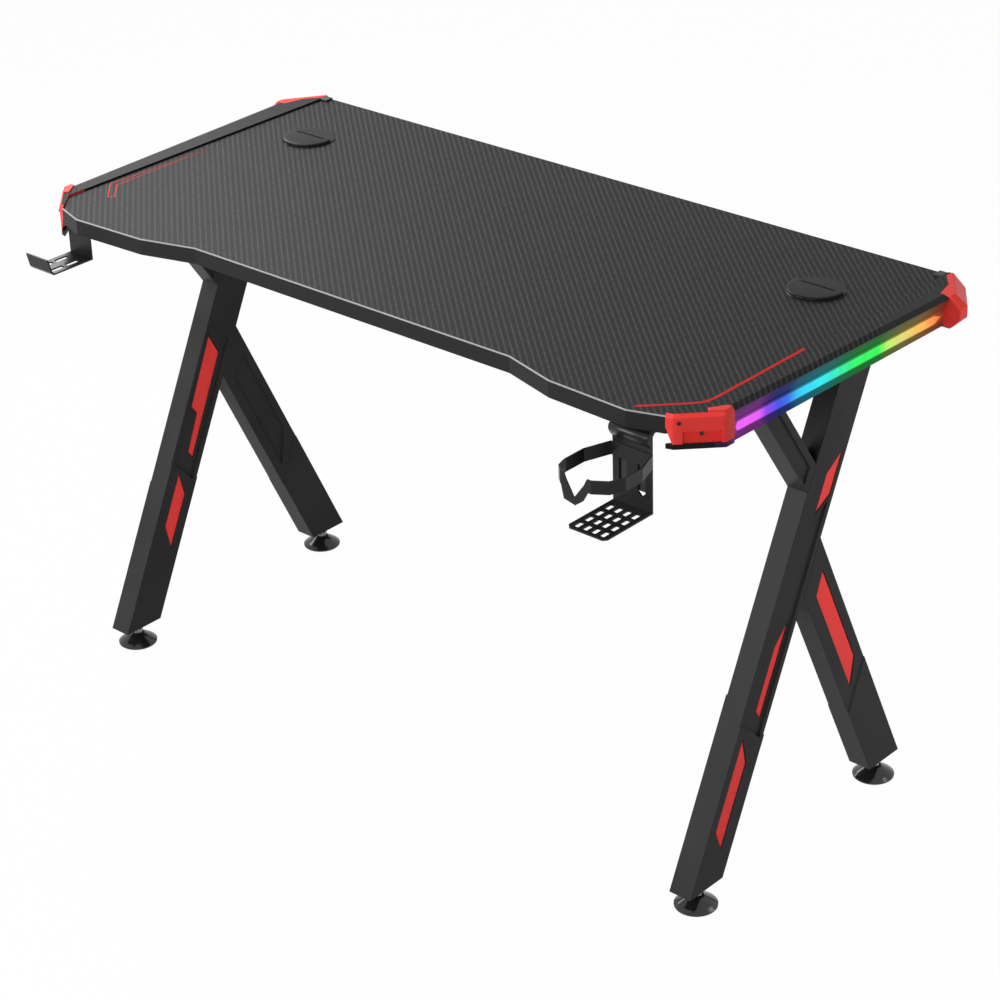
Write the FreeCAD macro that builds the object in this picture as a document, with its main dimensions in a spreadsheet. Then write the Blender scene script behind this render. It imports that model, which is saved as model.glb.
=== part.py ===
"""Gaming desk with a cut-out board, lit side rails, X-shaped leg frames, cup holder and headphone hook.

Frame: +X is the sitter's right, +Y points to the rear, +Z is up, z = 0 is the floor.
The origin is under the middle of the whole desk's bounding box. All sizes are in millimetres.
"""
import FreeCAD, Part
import math
import os

import Sketcher

Vector = FreeCAD.Vector

# Driving dimensions. A depth is a distance forward from the board's rear edge, a height is from the floor,
# a drop is a distance down from the board's top, an inset is a distance in from the board's side, and a reach
# or setback is a distance ahead of or behind a front edge. An across value runs rearward from a leg's middle.
SIZES = {
    # Desktop board
    "top_height": 750.0,
    "board_thickness": 24.0,
    "board_half_width": 582.0,
    "board_depth": 557.0,
    "lobe_reach": 24.0,
    "lobe_tip_reach": 30.0,
    "notch_inset": 290.0,
    "lobe_inner_inset": 204.0,
    "lobe_outer_inset": 75.0,
    "corner_front_inset": 26.0,
    "corner_front_reach": 14.0,
    "corner_run": 35.0,
    "edge_break": 1.5,
    # Cable grommets
    "grommet_inset": 108.0,
    "grommet_depth": 150.0,
    "grommet_hole_radius": 35.0,
    "sleeve_gap": 0.2,
    "rebate_depth": 1.0,
    "sleeve_wall": 3.0,
    "sleeve_flange_radius": 41.0,
    "sleeve_flange_thickness": 2.5,
    "pivot_land": 8.0,
    "pivot_radius": 2.0,
    "pivot_gap": 0.3,
    "lid_thickness": 3.5,
    "lid_radius": 40.0,
    "lid_hub_radius": 7.0,
    "lid_crown": 1.2,
    # Side rails with their light channels
    "rail_rise": 3.0,
    "rail_top_width": 21.0,
    "rail_width": 30.0,
    "rail_height": 47.0,
    "rail_bottom_width": 24.0,
    "rail_flare": 18.0,
    "lip_top_drop": 1.0,
    "lip_bottom_drop": 41.0,
    "channel_top_drop": 18.0,
    "channel_height": 16.0,
    "channel_mouth_x": 24.0,
    "channel_floor_x": 19.0,
    "rail_flange_reach": 26.0,
    "rail_flange_thickness": 6.0,
    "rail_base_height": 7.0,
    "strip_thickness": 1.6,
    "diffuser_proud": 2.0,
    # Corner caps
    "front_cap_nose_inset": 16.0,
    "front_cap_nose_setback": 3.0,
    "front_cap_nose_run": 46.0,
    "front_cap_side_length": 16.0,
    "front_cap_slant": 11.0,
    "front_cap_slant_height": 34.0,
    "front_cap_panel_inset": 9.0,
    "front_cap_panel_height": 15.0,
    "front_cap_panel_recess": 2.0,
    "rear_overhang": 2.0,
    "rear_cap_start": 3.0,
    "rear_cap_corner": 26.0,
    "rear_cap_bulge": 63.0,
    "rear_cap_slant_depth": 49.0,
    "rear_cap_length": 66.0,
    "rear_cap_edge_x": 30.0,
    "rear_cap_band_x": 22.0,
    "rear_cap_band_depth": 34.0,
    "rear_cap_inner_depth": 11.0,
    "rear_cap_facet": 16.0,
    # Leg frames
    "leg_width": 36.0,
    "leg_flange_width": 33.0,
    "leg_mid_width": 27.0,
    "leg_core_width": 22.0,
    "leg_wall": 2.0,
    "leg_bottom": 32.0,
    "long_leg_depth": 70.0,
    "long_leg_top_depth": 176.0,
    "front_foot_setback": 46.0,
    "rear_leg_depth": 70.0,
    "rear_foot_depth": 100.0,
    "strut_depth": 42.0,
    "strut_top_gap": 105.0,
    "strut_recess_front": 4.0,
    "strut_recess_rear": 13.0,
    "strut_recess_end": 12.0,
    "recess_front_margin": 7.0,
    "recess_rear_margin": 10.0,
    "insert_gap": 0.3,
    "insert_end_gap": 1.2,
    "insert_inset": 1.2,
    # Top plates and crossbars
    "plate_thickness": 4.0,
    "plate_width": 48.0,
    "plate_overlap": 14.0,
    "crossbar_width": 40.0,
    "crossbar_height": 22.0,
    "crossbar_wall": 2.0,
    "crossbar_end_gap": 6.0,
    "crossbar_tab": 32.0,
    "front_crossbar_depth": 350.0,
    "rear_crossbar_depth": 210.0,
    # Levelling feet
    "plug_height": 22.0,
    "stud_radius": 4.0,
    "stud_gap": 0.3,
    "stud_top": 58.0,
    "stud_seat": 6.0,
    "collar_across_flats": 16.0,
    "collar_bottom": 19.0,
    "collar_height": 5.0,
    "pad_radius": 30.0,
    "pad_rim": 3.0,
    "pad_shoulder_radius": 25.0,
    "pad_shoulder": 7.0,
    "pad_neck_radius": 11.0,
    "pad_height": 16.0,
    # Cup holder
    "sheet_thickness": 2.5,
    "cup_inset": 71.0,
    "cup_width": 62.0,
    "cup_setback": 7.0,
    "cup_drop": 112.0,
    "cup_tray_length": 90.0,
    "cup_flange": 42.0,
    "cup_bend": 5.0,
    "tray_slot_width": 8.0,
    "tray_slot_length": 14.0,
    "tray_bar": 5.5,
    "tray_corner": 10.0,
    "plate_slot_width": 12.0,
    "plate_slot_low": 42.0,
    "plate_slot_high": 92.0,
    "ring_strap": 2.0,
    "ring_height": 18.0,
    "ring_drop": 47.0,
    "ring_width": 92.0,
    "ring_depth": 100.0,
    # Headphone hook
    "hook_inset": 52.0,
    "hook_width": 46.0,
    "hook_setback": 5.0,
    "hook_drop": 46.0,
    "hook_arm": 76.0,
    "hook_lip": 26.0,
    "hook_slot_width": 9.0,
    "hook_slot_length": 22.0,
    # Light controller under the board
    "controller_inset": 282.0,
    "controller_depth": 52.0,
    "controller_length": 84.0,
    "controller_width": 44.0,
    "controller_height": 22.0,
    "controller_ear": 12.0,
    "controller_round": 4.0,
    "button_radius": 5.0,
    "button_gap": 0.3,
    "button_proud": 2.5,
    "button_stem": 3.5,
    "button_well": 6.0,
    "button_offset": 22.0,
    "inlet_radius": 2.75,
    "inlet_depth": 9.0,
    # Screws
    "screw_radius": 2.0,
    "screw_gap": 0.2,
    "screw_length": 15.0,
    "screw_head_radius": 4.6,
    "screw_head_height": 2.4,
    "pilot_depth": 16.0,
    "screw_edge": 11.0,
    # One overrun for every cut
    "overrun": 5.0,
}

# Heights of the leg frames' joints and steps, as shares of the rise from the legs' feet to the top plates.
HEIGHT_SHARES = {
    "rear_joint_share": 0.5696, "strut_joint_share": 0.7362,
    "upper_step_front_share": 0.645, "upper_step_rear_share": 0.695,
    "lower_step_front_share": 0.3159, "lower_step_rear_share": 0.2652,
    "inner_top_front_share": 0.66, "inner_top_rear_share": 0.6,
    "inner_step_front_share": 0.362, "inner_step_rear_share": 0.3035,
    "foot_block_front_share": 0.1754, "foot_block_rear_share": 0.287,
}

# Where the inlays lie: across a leg as shares of its half depth, then up its front and rear lines as shares
# of the same rise.
INLAY_KEYS = ("front_share", "rear_share", "front_low_share", "front_high_share", "rear_low_share",
              "rear_high_share")
UPPER_INLAY_SHARES = dict(zip(INLAY_KEYS, (0.05, 0.72, 0.682, 0.752, 0.706, 0.783)))
MIDDLE_INLAY_SHARES = dict(zip(INLAY_KEYS, (0.08, 0.5, 0.3236, 0.439, 0.3025, 0.478)))
LOWER_INLAY_SHARES = dict(zip(INLAY_KEYS, (-0.54, 0.2, 0.116, 0.285, 0.072, 0.228)))
INNER_INLAY_SHARES = dict(zip(INLAY_KEYS, (-0.33, 0.445, 0.2219, 0.3319, 0.1639, 0.2761)))
REAR_INLAY_SHARES = dict(zip(INLAY_KEYS, (-0.33, 0.49, 0.238, 0.496, 0.303, 0.545)))
REAR_PANEL_SHARES = dict(zip(INLAY_KEYS, (-0.5, 0.62, 0.23, 0.5, 0.32, 0.55)))

# The long inlay on a frame's inner face: shares across and up for each corner, and the ways its window grows.
LONG_INLAY_SHARES = (
    (-0.6, 0.625, -1, 1), (0.38, 0.575, 1, 1), (0.46, 0.354, 1, -1), (0.08, 0.37, -1, -1),
    (-0.02, 0.455, -1, -1), (-0.5, 0.475, -1, -1),
)
FACE_WAYS = {"outer": 1, "inner": -1}

# How far the light channel and the lower lip follow the rail's outward flare, as shares of it.
CHANNEL_FLARE_SHARE = 0.7
LOWER_FLARE_SHARE = 0.5

# The cup ring's outline as shares of its width and depth, from the plate outward, with the front dent.
RING_SHARES = (
    (-0.36, 0.0), (-0.5, 0.38), (-0.5, 0.74), (-0.45, 0.9), (-0.33, 1.0),
    (0.2, 1.0), (0.4, 0.88), (0.5, 0.68), (0.5, 0.36), (0.36, 0.0),
)

# The dip at the front of the ring: shares of its width across and of its height up from its lower edge.
RING_DIP_SHARES = (
    (-0.293, 1.0), (-0.32, 0.0), (-0.272, -1.06), (-0.076, -1.28), (0.054, -0.78), (0.141, 0.0), (0.152, 1.0),
    (-0.098, -0.72),
)
RING_GAP_SHARES = ((-0.293, 1.0), (-0.179, 0.0), (0.007, 0.0), (0.152, 1.0))

# Rows of slots and pairs of screws as shares of a sheet's width, and screws along a length as shares of it.
TRAY_ROW_SHARES = (-0.33, -0.11, 0.11, 0.33)
PLATE_SLOT_SHARES = (-0.24, 0.24)
HOOK_SLOT_SHARES = (-0.25, 0.25)
SCREW_PAIR_SHARES = (-0.25, 0.25)
RAIL_SCREW_SHARES = (0.3, 0.7)
PLATE_SCREW_SHARES = (0.25, 0.5, 0.75)

TRAY_ROW_COUNT = 4
HOOK_ROW_COUNT = 2
HEXAGON_SIDES = 6

doc = FreeCAD.newDocument("gaming_desk")


def fill_sheet():
    """Write the driving dimensions into the sheet, one aliased cell each."""
    sheet = doc.addObject("Spreadsheet::Sheet", "Sizes")
    for row, (name, value) in enumerate(SIZES.items(), start=1):
        sheet.set(f"A{row}", name)
        sheet.set(f"B{row}", str(value))
        sheet.setAlias(f"B{row}", name)
    doc.recompute()
    return sheet


class Size:
    """A length that carries both its value and the sheet expression it comes from."""

    def __init__(self, value, text):
        self.value = float(value)
        self.text = text

    def __add__(self, other):
        other = as_size(other)
        return Size(self.value + other.value, f"({self.text} + {other.text})")

    def __sub__(self, other):
        other = as_size(other)
        return Size(self.value - other.value, f"({self.text} - {other.text})")

    def __mul__(self, other):
        other = as_size(other)
        return Size(self.value * other.value, f"({self.text} * {other.text})")

    def __truediv__(self, other):
        other = as_size(other)
        return Size(self.value / other.value, f"({self.text} / {other.text})")

    def __neg__(self):
        return Size(-self.value, f"(0 - {self.text})")

    __radd__ = __add__
    __rmul__ = __mul__


def as_size(item):
    """Turn a plain factor into a Size."""
    if isinstance(item, Size):
        return item
    return Size(item, repr(float(item)))


def root(size):
    """Square root of a product of sizes."""
    return Size(math.sqrt(size.value), f"sqrt({size.text})")


class Sheet:
    """Sizes of the sheet as attributes."""

    def __init__(self, sheet):
        self.sheet = sheet

    def __getattr__(self, name):
        return Size(self.sheet.get(name), f"Sizes.{name}")


d = Sheet(fill_sheet())
ZERO = as_size(0)
SIDES = {"left": -1, "right": 1}

# Places that several pieces share.
LOBE_DEPTH = d.board_depth + d.lobe_reach
LOBE_TIP_DEPTH = d.board_depth + d.lobe_tip_reach
CORNER_FRONT_DEPTH = d.board_depth + d.corner_front_reach
CORNER_SIDE_DEPTH = CORNER_FRONT_DEPTH - d.corner_run
CAP_NOSE_DEPTH = CORNER_FRONT_DEPTH - d.front_cap_nose_setback
CAP_SIDE_DEPTH = CAP_NOSE_DEPTH - d.front_cap_nose_run
CAP_END_DEPTH = CAP_SIDE_DEPTH - d.front_cap_side_length
CUP_PLATE_DEPTH = LOBE_TIP_DEPTH - d.cup_setback
HOOK_PLATE_DEPTH = CORNER_FRONT_DEPTH - d.hook_setback
FRONT_FOOT_DEPTH = d.board_depth - d.front_foot_setback
STRUT_TOP_DEPTH = CAP_END_DEPTH - d.strut_top_gap
CORNER_FRONT_X = d.board_half_width - d.corner_front_inset
CAP_NOSE_X = d.board_half_width - d.front_cap_nose_inset
GROMMET_X = d.board_half_width - d.grommet_inset
FRAME_X = d.board_half_width - d.plate_width / 2
CROSSBAR_END_X = d.board_half_width - d.plate_width - d.crossbar_end_gap
CROSSBAR_HALF = CROSSBAR_END_X - d.crossbar_tab
CUP_X = d.board_half_width - d.cup_inset
HOOK_X = d.hook_inset - d.board_half_width
CONTROLLER_X = d.board_half_width - d.controller_inset
BACK = (CUP_PLATE_DEPTH + d.ring_depth - d.rear_overhang) / 2
TOP = d.top_height
UNDER = d.top_height - d.board_thickness
PLATE_UNDER = UNDER - d.plate_thickness
RAIL_TOP = d.top_height + d.rail_rise
RAIL_BOTTOM = RAIL_TOP - d.rail_height
RAIL_OUT = d.board_half_width + d.rail_width
FLANGE_SEAT = d.top_height - d.rebate_depth


def at_depth(depth):
    """Y of a distance forward from the board's rear edge."""
    return BACK - depth


def leg_height(name):
    """Height of a named joint or step of the leg frames."""
    return d.leg_bottom + (PLATE_UNDER - d.leg_bottom) * HEIGHT_SHARES[name + "_share"]


FRONT_FOOT_Y = at_depth(FRONT_FOOT_DEPTH)
REAR_FOOT_Y = at_depth(d.rear_foot_depth)
LONG_TOP_Y = at_depth(d.long_leg_top_depth)
LONG_SLOPE = (LONG_TOP_Y - FRONT_FOOT_Y) / (PLATE_UNDER - d.leg_bottom)


def long_leg_y(height, across=ZERO):
    """Y on the long leg at a height, a distance rearward of its middle line."""
    return FRONT_FOOT_Y + LONG_SLOPE * (height - d.leg_bottom) + across


REAR_JOINT_HEIGHT = leg_height("rear_joint")
REAR_JOINT_Y = long_leg_y(REAR_JOINT_HEIGHT, d.long_leg_depth / 2)
REAR_SLOPE = (REAR_JOINT_Y - REAR_FOOT_Y) / (REAR_JOINT_HEIGHT - d.leg_bottom)


def rear_leg_y(height, across=ZERO):
    """Y on the rear leg at a height, a distance rearward of its middle line."""
    return REAR_FOOT_Y + REAR_SLOPE * (height - d.leg_bottom) + across


def rear_leg_top(across):
    """Height at which a line of the rear leg meets the long leg's rear face."""
    start = rear_leg_y(ZERO, across) - long_leg_y(ZERO, d.long_leg_depth / 2)
    return start / (LONG_SLOPE - REAR_SLOPE)


# Building blocks

def new_body(label):
    """Start a body that is one piece of the desk."""
    body = doc.addObject("PartDesign::Body", label)
    body.Label = label
    return body


def origin_plane(body, role):
    """Find one of a body's own origin planes."""
    return next(item for item in body.Origin.OriginFeatures if item.Role == role)


def new_sketch(body, name, role, offset):
    """Attach a sketch to an origin plane, moved along its normal."""
    sketch = body.newObject("Sketcher::SketchObject", name)
    sketch.AttachmentSupport = (origin_plane(body, role), [""])
    sketch.MapMode = "FlatFace"
    sketch.AttachmentOffset = FreeCAD.Placement(Vector(0, 0, offset.value), FreeCAD.Rotation())
    sketch.setExpression("AttachmentOffset.Base.z", offset.text)
    return sketch


def hold_point(sketch, geometry, position, point):
    """Bind a sketch point to its two sizes."""
    for kind, size in zip(("DistanceX", "DistanceY"), point):
        index = sketch.addConstraint(Sketcher.Constraint(kind, -1, 1, geometry, position, size.value))
        sketch.setExpression(f"Constraints[{index}]", size.text)


def outline(body, name, role, loops, offset=ZERO):
    """Sketch closed outlines whose corners are bound to the sheet."""
    sketch = new_sketch(body, name, role, offset)
    for points in loops:
        first = sketch.GeometryCount
        corners = [Vector(u.value, v.value, 0) for u, v in points]
        for corner, following in zip(corners, corners[1:] + corners[:1]):
            sketch.addGeometry(Part.LineSegment(corner, following), False)
        for index, point in enumerate(points):
            following = first + (index + 1) % len(points)
            sketch.addConstraint(Sketcher.Constraint("Coincident", first + index, 2, following, 1))
            hold_point(sketch, first + index, 1, point)
    return sketch


def circles(body, name, role, centres, radius, offset=ZERO):
    """Sketch circles of one radius at centres bound to the sheet."""
    sketch = new_sketch(body, name, role, offset)
    for centre in centres:
        middle = Vector(centre[0].value, centre[1].value, 0)
        index = sketch.addGeometry(Part.Circle(middle, Vector(0, 0, 1), radius.value), False)
        hold_point(sketch, index, 3, centre)
        constraint = sketch.addConstraint(Sketcher.Constraint("Radius", index, radius.value))
        sketch.setExpression(f"Constraints[{constraint}]", radius.text)
    return sketch


def pad(body, sketch, length, midplane=False):
    """Extrude a sketch along its normal, or to both sides of it."""
    feature = body.newObject("PartDesign::Pad", sketch.Name + "_pad")
    feature.Profile = sketch
    feature.Length = length.value
    feature.setExpression("Length", length.text)
    feature.Midplane = midplane
    doc.recompute()
    return feature


def loft(body, first, second):
    """Join two sections of equal corners by straight faces."""
    feature = body.newObject("PartDesign::AdditiveLoft", first.Name + "_loft")
    feature.Profile = first
    feature.Sections = [second]
    feature.Ruled = True
    doc.recompute()
    return feature


def pocket(body, sketch, length, midplane=False, reverse=False):
    """Cut a sketch into the body and make sure that something was removed."""
    before = body.Shape.Volume
    feature = body.newObject("PartDesign::Pocket", sketch.Name + "_pocket")
    feature.Profile = sketch
    feature.Length = length.value
    feature.setExpression("Length", length.text)
    feature.Midplane = midplane
    feature.Reversed = reverse
    doc.recompute()
    if not body.Shape.Volume < before:
        raise RuntimeError(f"{feature.Name} cuts nothing")
    return feature


def revolve(body, name, profile):
    """Turn a profile of radius and height pairs about the vertical axis."""
    sketch = outline(body, name, "XZ_Plane", [profile])
    feature = body.newObject("PartDesign::Revolution", name + "_turn")
    feature.Profile = sketch
    feature.ReferenceAxis = (sketch, ["V_Axis"])
    feature.Angle = 360.0
    doc.recompute()
    return feature


def dress(body, kind, names, size):
    """Round or chamfer the named edges or faces of the body's tip."""
    base = body.Tip
    feature = body.newObject(kind, kind.split("::")[1] + "_" + body.Name)
    feature.Base = (base, names)
    prop = "Radius" if kind.endswith("Fillet") else "Size"
    setattr(feature, prop, size.value)
    feature.setExpression(prop, size.text)
    doc.recompute()
    return feature


def flat_faces(body, height):
    """Names of the horizontal faces at a height."""
    found = []
    for index, face in enumerate(body.Shape.Faces, start=1):
        box = face.BoundBox
        if box.ZLength < d.sleeve_gap.value and abs(box.ZMin - height.value) < d.sleeve_gap.value:
            found.append(f"Face{index}")
    return found


def upright_edges(body):
    """Names of the straight upright edges."""
    found = []
    for index, edge in enumerate(body.Shape.Edges, start=1):
        box = edge.BoundBox
        if max(box.XLength, box.YLength) < d.sleeve_gap.value:
            found.append(f"Edge{index}")
    return found


def place(body, x, y, z):
    """Bind a body's place to the sheet."""
    body.Placement = FreeCAD.Placement(Vector(x.value, y.value, z.value), FreeCAD.Rotation())
    for axis, size in zip("xyz", (x, y, z)):
        body.setExpression(f"Placement.Base.{axis}", size.text)
    return body


def flip(points, side):
    """Mirror outline points to one side of the desk."""
    return [(u * side, v) for u, v in points]


def box_points(u_low, u_high, v_low, v_high):
    """Corners of an upright rectangle."""
    return [(u_low, v_low), (u_high, v_low), (u_high, v_high), (u_low, v_high)]


def group(label, pieces):
    """Join separate solids into one node without fusing them."""
    compound = doc.addObject("Part::Compound", label)
    compound.Label = label
    compound.Links = pieces
    doc.recompute()
    return compound


# Screw places under the board, as X and Y pairs, with the height that each head bears on

def plate_span():
    """Front and rear Y of a top plate."""
    front = at_depth(STRUT_TOP_DEPTH + d.strut_depth / 2 + d.plate_overlap)
    rear = at_depth(d.long_leg_top_depth - d.long_leg_depth / 2 - d.plate_overlap)
    return front, rear


def rail_screw_places(side):
    """Two screws in the rail's flange ahead of the top plate, and two behind it."""
    x = (d.board_half_width - d.rail_flange_reach + d.screw_edge) * side
    front, rear = plate_span()
    ahead = at_depth(CAP_END_DEPTH)
    behind = at_depth(d.rear_cap_band_depth)
    places = [(x, ahead + (front - ahead) * share) for share in RAIL_SCREW_SHARES]
    return places + [(x, rear + (behind - rear) * share) for share in RAIL_SCREW_SHARES]


def plate_screw_places(side):
    """A row of screws along a top plate, between the strut's end and the long leg's end."""
    front = at_depth(STRUT_TOP_DEPTH - d.strut_depth / 2)
    rear = at_depth(d.long_leg_top_depth + d.long_leg_depth / 2)
    return [(FRAME_X * side, front + (rear - front) * share) for share in PLATE_SCREW_SHARES]


def crossbar_screw_places(depth):
    """Two screws in the tab at each end of a crossbar."""
    x = CROSSBAR_END_X - d.screw_edge
    rows = [at_depth(depth) + d.crossbar_width * share for share in SCREW_PAIR_SHARES]
    return [(x * side, y) for side in SIDES.values() for y in rows]


def cup_screw_places():
    """Two screws in the cup holder's flange."""
    y = at_depth(CUP_PLATE_DEPTH - d.cup_flange + d.screw_edge)
    return [(CUP_X + d.cup_width * share, y) for share in SCREW_PAIR_SHARES]


def hook_screw_places():
    """Two screws in the headphone hook's flange."""
    y = at_depth(HOOK_PLATE_DEPTH - d.cup_flange + d.screw_edge)
    return [(HOOK_X + d.hook_width * share, y) for share in SCREW_PAIR_SHARES]


def controller_screw_places():
    """One screw in each ear of the controller."""
    reach = d.controller_length / 2 + d.controller_ear / 2
    return [(CONTROLLER_X + reach * side, at_depth(d.controller_depth)) for side in SIDES.values()]


def all_screw_places():
    """Every screw that goes into the board."""
    places = cup_screw_places() + hook_screw_places() + controller_screw_places()
    for side in SIDES.values():
        places += rail_screw_places(side) + plate_screw_places(side)
    for depth in (d.front_crossbar_depth, d.rear_crossbar_depth):
        places += crossbar_screw_places(depth)
    return places


# Board

def front_outline(side):
    """Points of the board's outline from the middle of the front to the rear corner on one side."""
    return flip([
        (d.board_half_width - d.notch_inset, at_depth(d.board_depth)),
        (d.board_half_width - d.lobe_inner_inset, at_depth(LOBE_DEPTH)),
        (d.board_half_width - d.lobe_outer_inset, at_depth(LOBE_TIP_DEPTH)),
        (CORNER_FRONT_X, at_depth(CORNER_FRONT_DEPTH)),
        (d.board_half_width, at_depth(CORNER_SIDE_DEPTH)),
        (d.board_half_width, BACK),
    ], side)


def make_board():
    """The board with rebated grommet holes and pilot holes."""
    body = new_body("desktop_board")
    points = front_outline(1) + list(reversed(front_outline(-1)))
    pad(body, outline(body, "board_outline", "XY_Plane", [points], UNDER), d.board_thickness)
    dress(body, "PartDesign::Chamfer", flat_faces(body, TOP), d.edge_break)
    centres = [(GROMMET_X * side, at_depth(d.grommet_depth)) for side in SIDES.values()]
    rebate = d.sleeve_flange_radius + d.sleeve_gap
    seats = circles(body, "grommet_rebates", "XY_Plane", centres, rebate, TOP + d.overrun)
    pocket(body, seats, d.rebate_depth + d.overrun)
    holes = circles(body, "grommet_holes", "XY_Plane", centres, d.grommet_hole_radius, TOP + d.overrun)
    pocket(body, holes, d.board_thickness + d.overrun * 2)
    pilots = circles(body, "pilot_holes", "XY_Plane", all_screw_places(), d.screw_radius + d.screw_gap, UNDER)
    pocket(body, pilots, d.pilot_depth, reverse=True)
    return body


# Grommets

def half_disc(body, name, radius, chord, offset):
    """Sketch the front part of a disc, cut off by a line across it."""
    sketch = new_sketch(body, name, "XY_Plane", offset)
    half = root(radius * radius - chord * chord)
    left = Vector(-half.value, chord.value, 0)
    right = Vector(half.value, chord.value, 0)
    circle = Part.Circle(Vector(0, 0, 0), Vector(0, 0, 1), radius.value)
    start = math.atan2(left.y, left.x) - (math.tau if left.y > 0 else 0)
    end = math.atan2(right.y, right.x)
    arc = sketch.addGeometry(Part.ArcOfCircle(circle, start, end), False)
    line = sketch.addGeometry(Part.LineSegment(right, left), False)
    sketch.addConstraint(Sketcher.Constraint("Coincident", arc, 2, line, 1))
    sketch.addConstraint(Sketcher.Constraint("Coincident", line, 2, arc, 1))
    sketch.addConstraint(Sketcher.Constraint("Coincident", arc, 3, -1, 1))
    hold_point(sketch, line, 1, (half, chord))
    sketch.addConstraint(Sketcher.Constraint("Horizontal", line))
    return sketch


def make_grommet_sleeve(name, side):
    """A flanged sleeve whose rear half is closed by a deck that carries the lid's pivot."""
    body = new_body(f"grommet_sleeve_{name}")
    outer = d.grommet_hole_radius - d.sleeve_gap
    inner = outer - d.sleeve_wall
    sleeve = d.board_thickness - d.rebate_depth
    flange_top = d.sleeve_flange_thickness
    revolve(body, f"sleeve_profile_{name}", [
        (inner, -sleeve), (outer, -sleeve), (outer, ZERO),
        (d.sleeve_flange_radius, ZERO), (d.sleeve_flange_radius, flange_top / 2),
        (d.sleeve_flange_radius - flange_top / 2, flange_top), (inner, flange_top),
    ])
    disc = circles(body, f"sleeve_deck_{name}", "XY_Plane", [(ZERO, ZERO)], inner + d.sleeve_wall / 2)
    pad(body, disc, flange_top)
    opening = half_disc(body, f"sleeve_opening_{name}", inner, -d.pivot_land, flange_top + d.overrun)
    pocket(body, opening, flange_top + d.overrun * 2)
    pin = circles(body, f"sleeve_pin_{name}", "XY_Plane", [(ZERO, ZERO)], d.pivot_radius, flange_top)
    pad(body, pin, d.lid_thickness)
    return place(body, GROMMET_X * side, at_depth(d.grommet_depth), FLANGE_SEAT)


def make_grommet_lid(name, side):
    """A half-moon lid that turns on the sleeve's pin to open the cable mouth."""
    body = new_body(f"grommet_lid_{name}")
    seat = d.sleeve_flange_thickness + d.pivot_gap
    pad(body, half_disc(body, f"lid_half_{name}", d.lid_radius, -d.pivot_gap, seat), d.lid_thickness)
    dress(body, "PartDesign::Fillet", flat_faces(body, seat + d.lid_thickness), d.lid_crown)
    hub = circles(body, f"lid_hub_{name}", "XY_Plane", [(ZERO, ZERO)], d.lid_hub_radius, seat)
    pad(body, hub, d.lid_thickness)
    bore = circles(body, f"lid_bore_{name}", "XY_Plane", [(ZERO, ZERO)], d.pivot_radius + d.pivot_gap,
                   seat + d.lid_thickness + d.overrun)
    pocket(body, bore, d.lid_thickness + d.overrun * 2)
    return place(body, GROMMET_X * side, at_depth(d.grommet_depth), FLANGE_SEAT)


# Side rails, lights and corner caps

def front_cap_points(side):
    """Plan of a front corner cap on the board's cut corner."""
    return flip([
        (CORNER_FRONT_X, at_depth(CORNER_FRONT_DEPTH)),
        (CAP_NOSE_X, at_depth(CAP_NOSE_DEPTH)),
        (RAIL_OUT, at_depth(CAP_SIDE_DEPTH)),
        (RAIL_OUT, at_depth(CAP_END_DEPTH)),
        (d.board_half_width, at_depth(CAP_END_DEPTH)),
        (d.board_half_width, at_depth(CORNER_SIDE_DEPTH)),
    ], side)


def rear_cap_points(side):
    """Plan of a rear corner cap that bulges out past the rail."""
    inside = d.board_half_width
    return flip([
        (inside + d.rear_cap_start, BACK + d.rear_overhang),
        (inside + d.rear_cap_corner, BACK + d.rear_overhang),
        (inside + d.rear_cap_bulge, at_depth(d.rear_cap_slant_depth)),
        (inside + d.rear_cap_bulge, at_depth(d.rear_cap_length)),
        (inside + d.rear_cap_edge_x, at_depth(d.rear_cap_length)),
        (inside + d.rear_cap_band_x, at_depth(d.rear_cap_band_depth)),
        (inside + d.rear_cap_start, at_depth(d.rear_cap_inner_depth)),
    ], side)


def rail_profile(side, flare):
    """Section of a rail at a flare: raised top, lip, light channel, lower lip and flange under the board."""
    inside = d.board_half_width
    mouth_top = TOP - d.channel_top_drop
    mouth_bottom = mouth_top - d.channel_height
    mouth = inside + d.channel_mouth_x + flare * CHANNEL_FLARE_SHARE
    floor = inside + d.channel_floor_x + flare * CHANNEL_FLARE_SHARE
    return flip([
        (inside, RAIL_TOP),
        (inside + d.rail_top_width + flare, RAIL_TOP),
        (RAIL_OUT + flare, TOP - d.lip_top_drop),
        (mouth, mouth_top),
        (floor, mouth_top),
        (floor, mouth_bottom),
        (mouth, mouth_bottom),
        (RAIL_OUT + flare * LOWER_FLARE_SHARE, TOP - d.lip_bottom_drop),
        (inside + d.rail_bottom_width + flare * LOWER_FLARE_SHARE, RAIL_BOTTOM),
        (inside, RAIL_BOTTOM),
        (inside, UNDER - d.rail_flange_thickness),
        (inside - d.rail_flange_reach, UNDER - d.rail_flange_thickness),
        (inside - d.rail_flange_reach, UNDER),
        (inside, UNDER),
    ], side)


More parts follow.
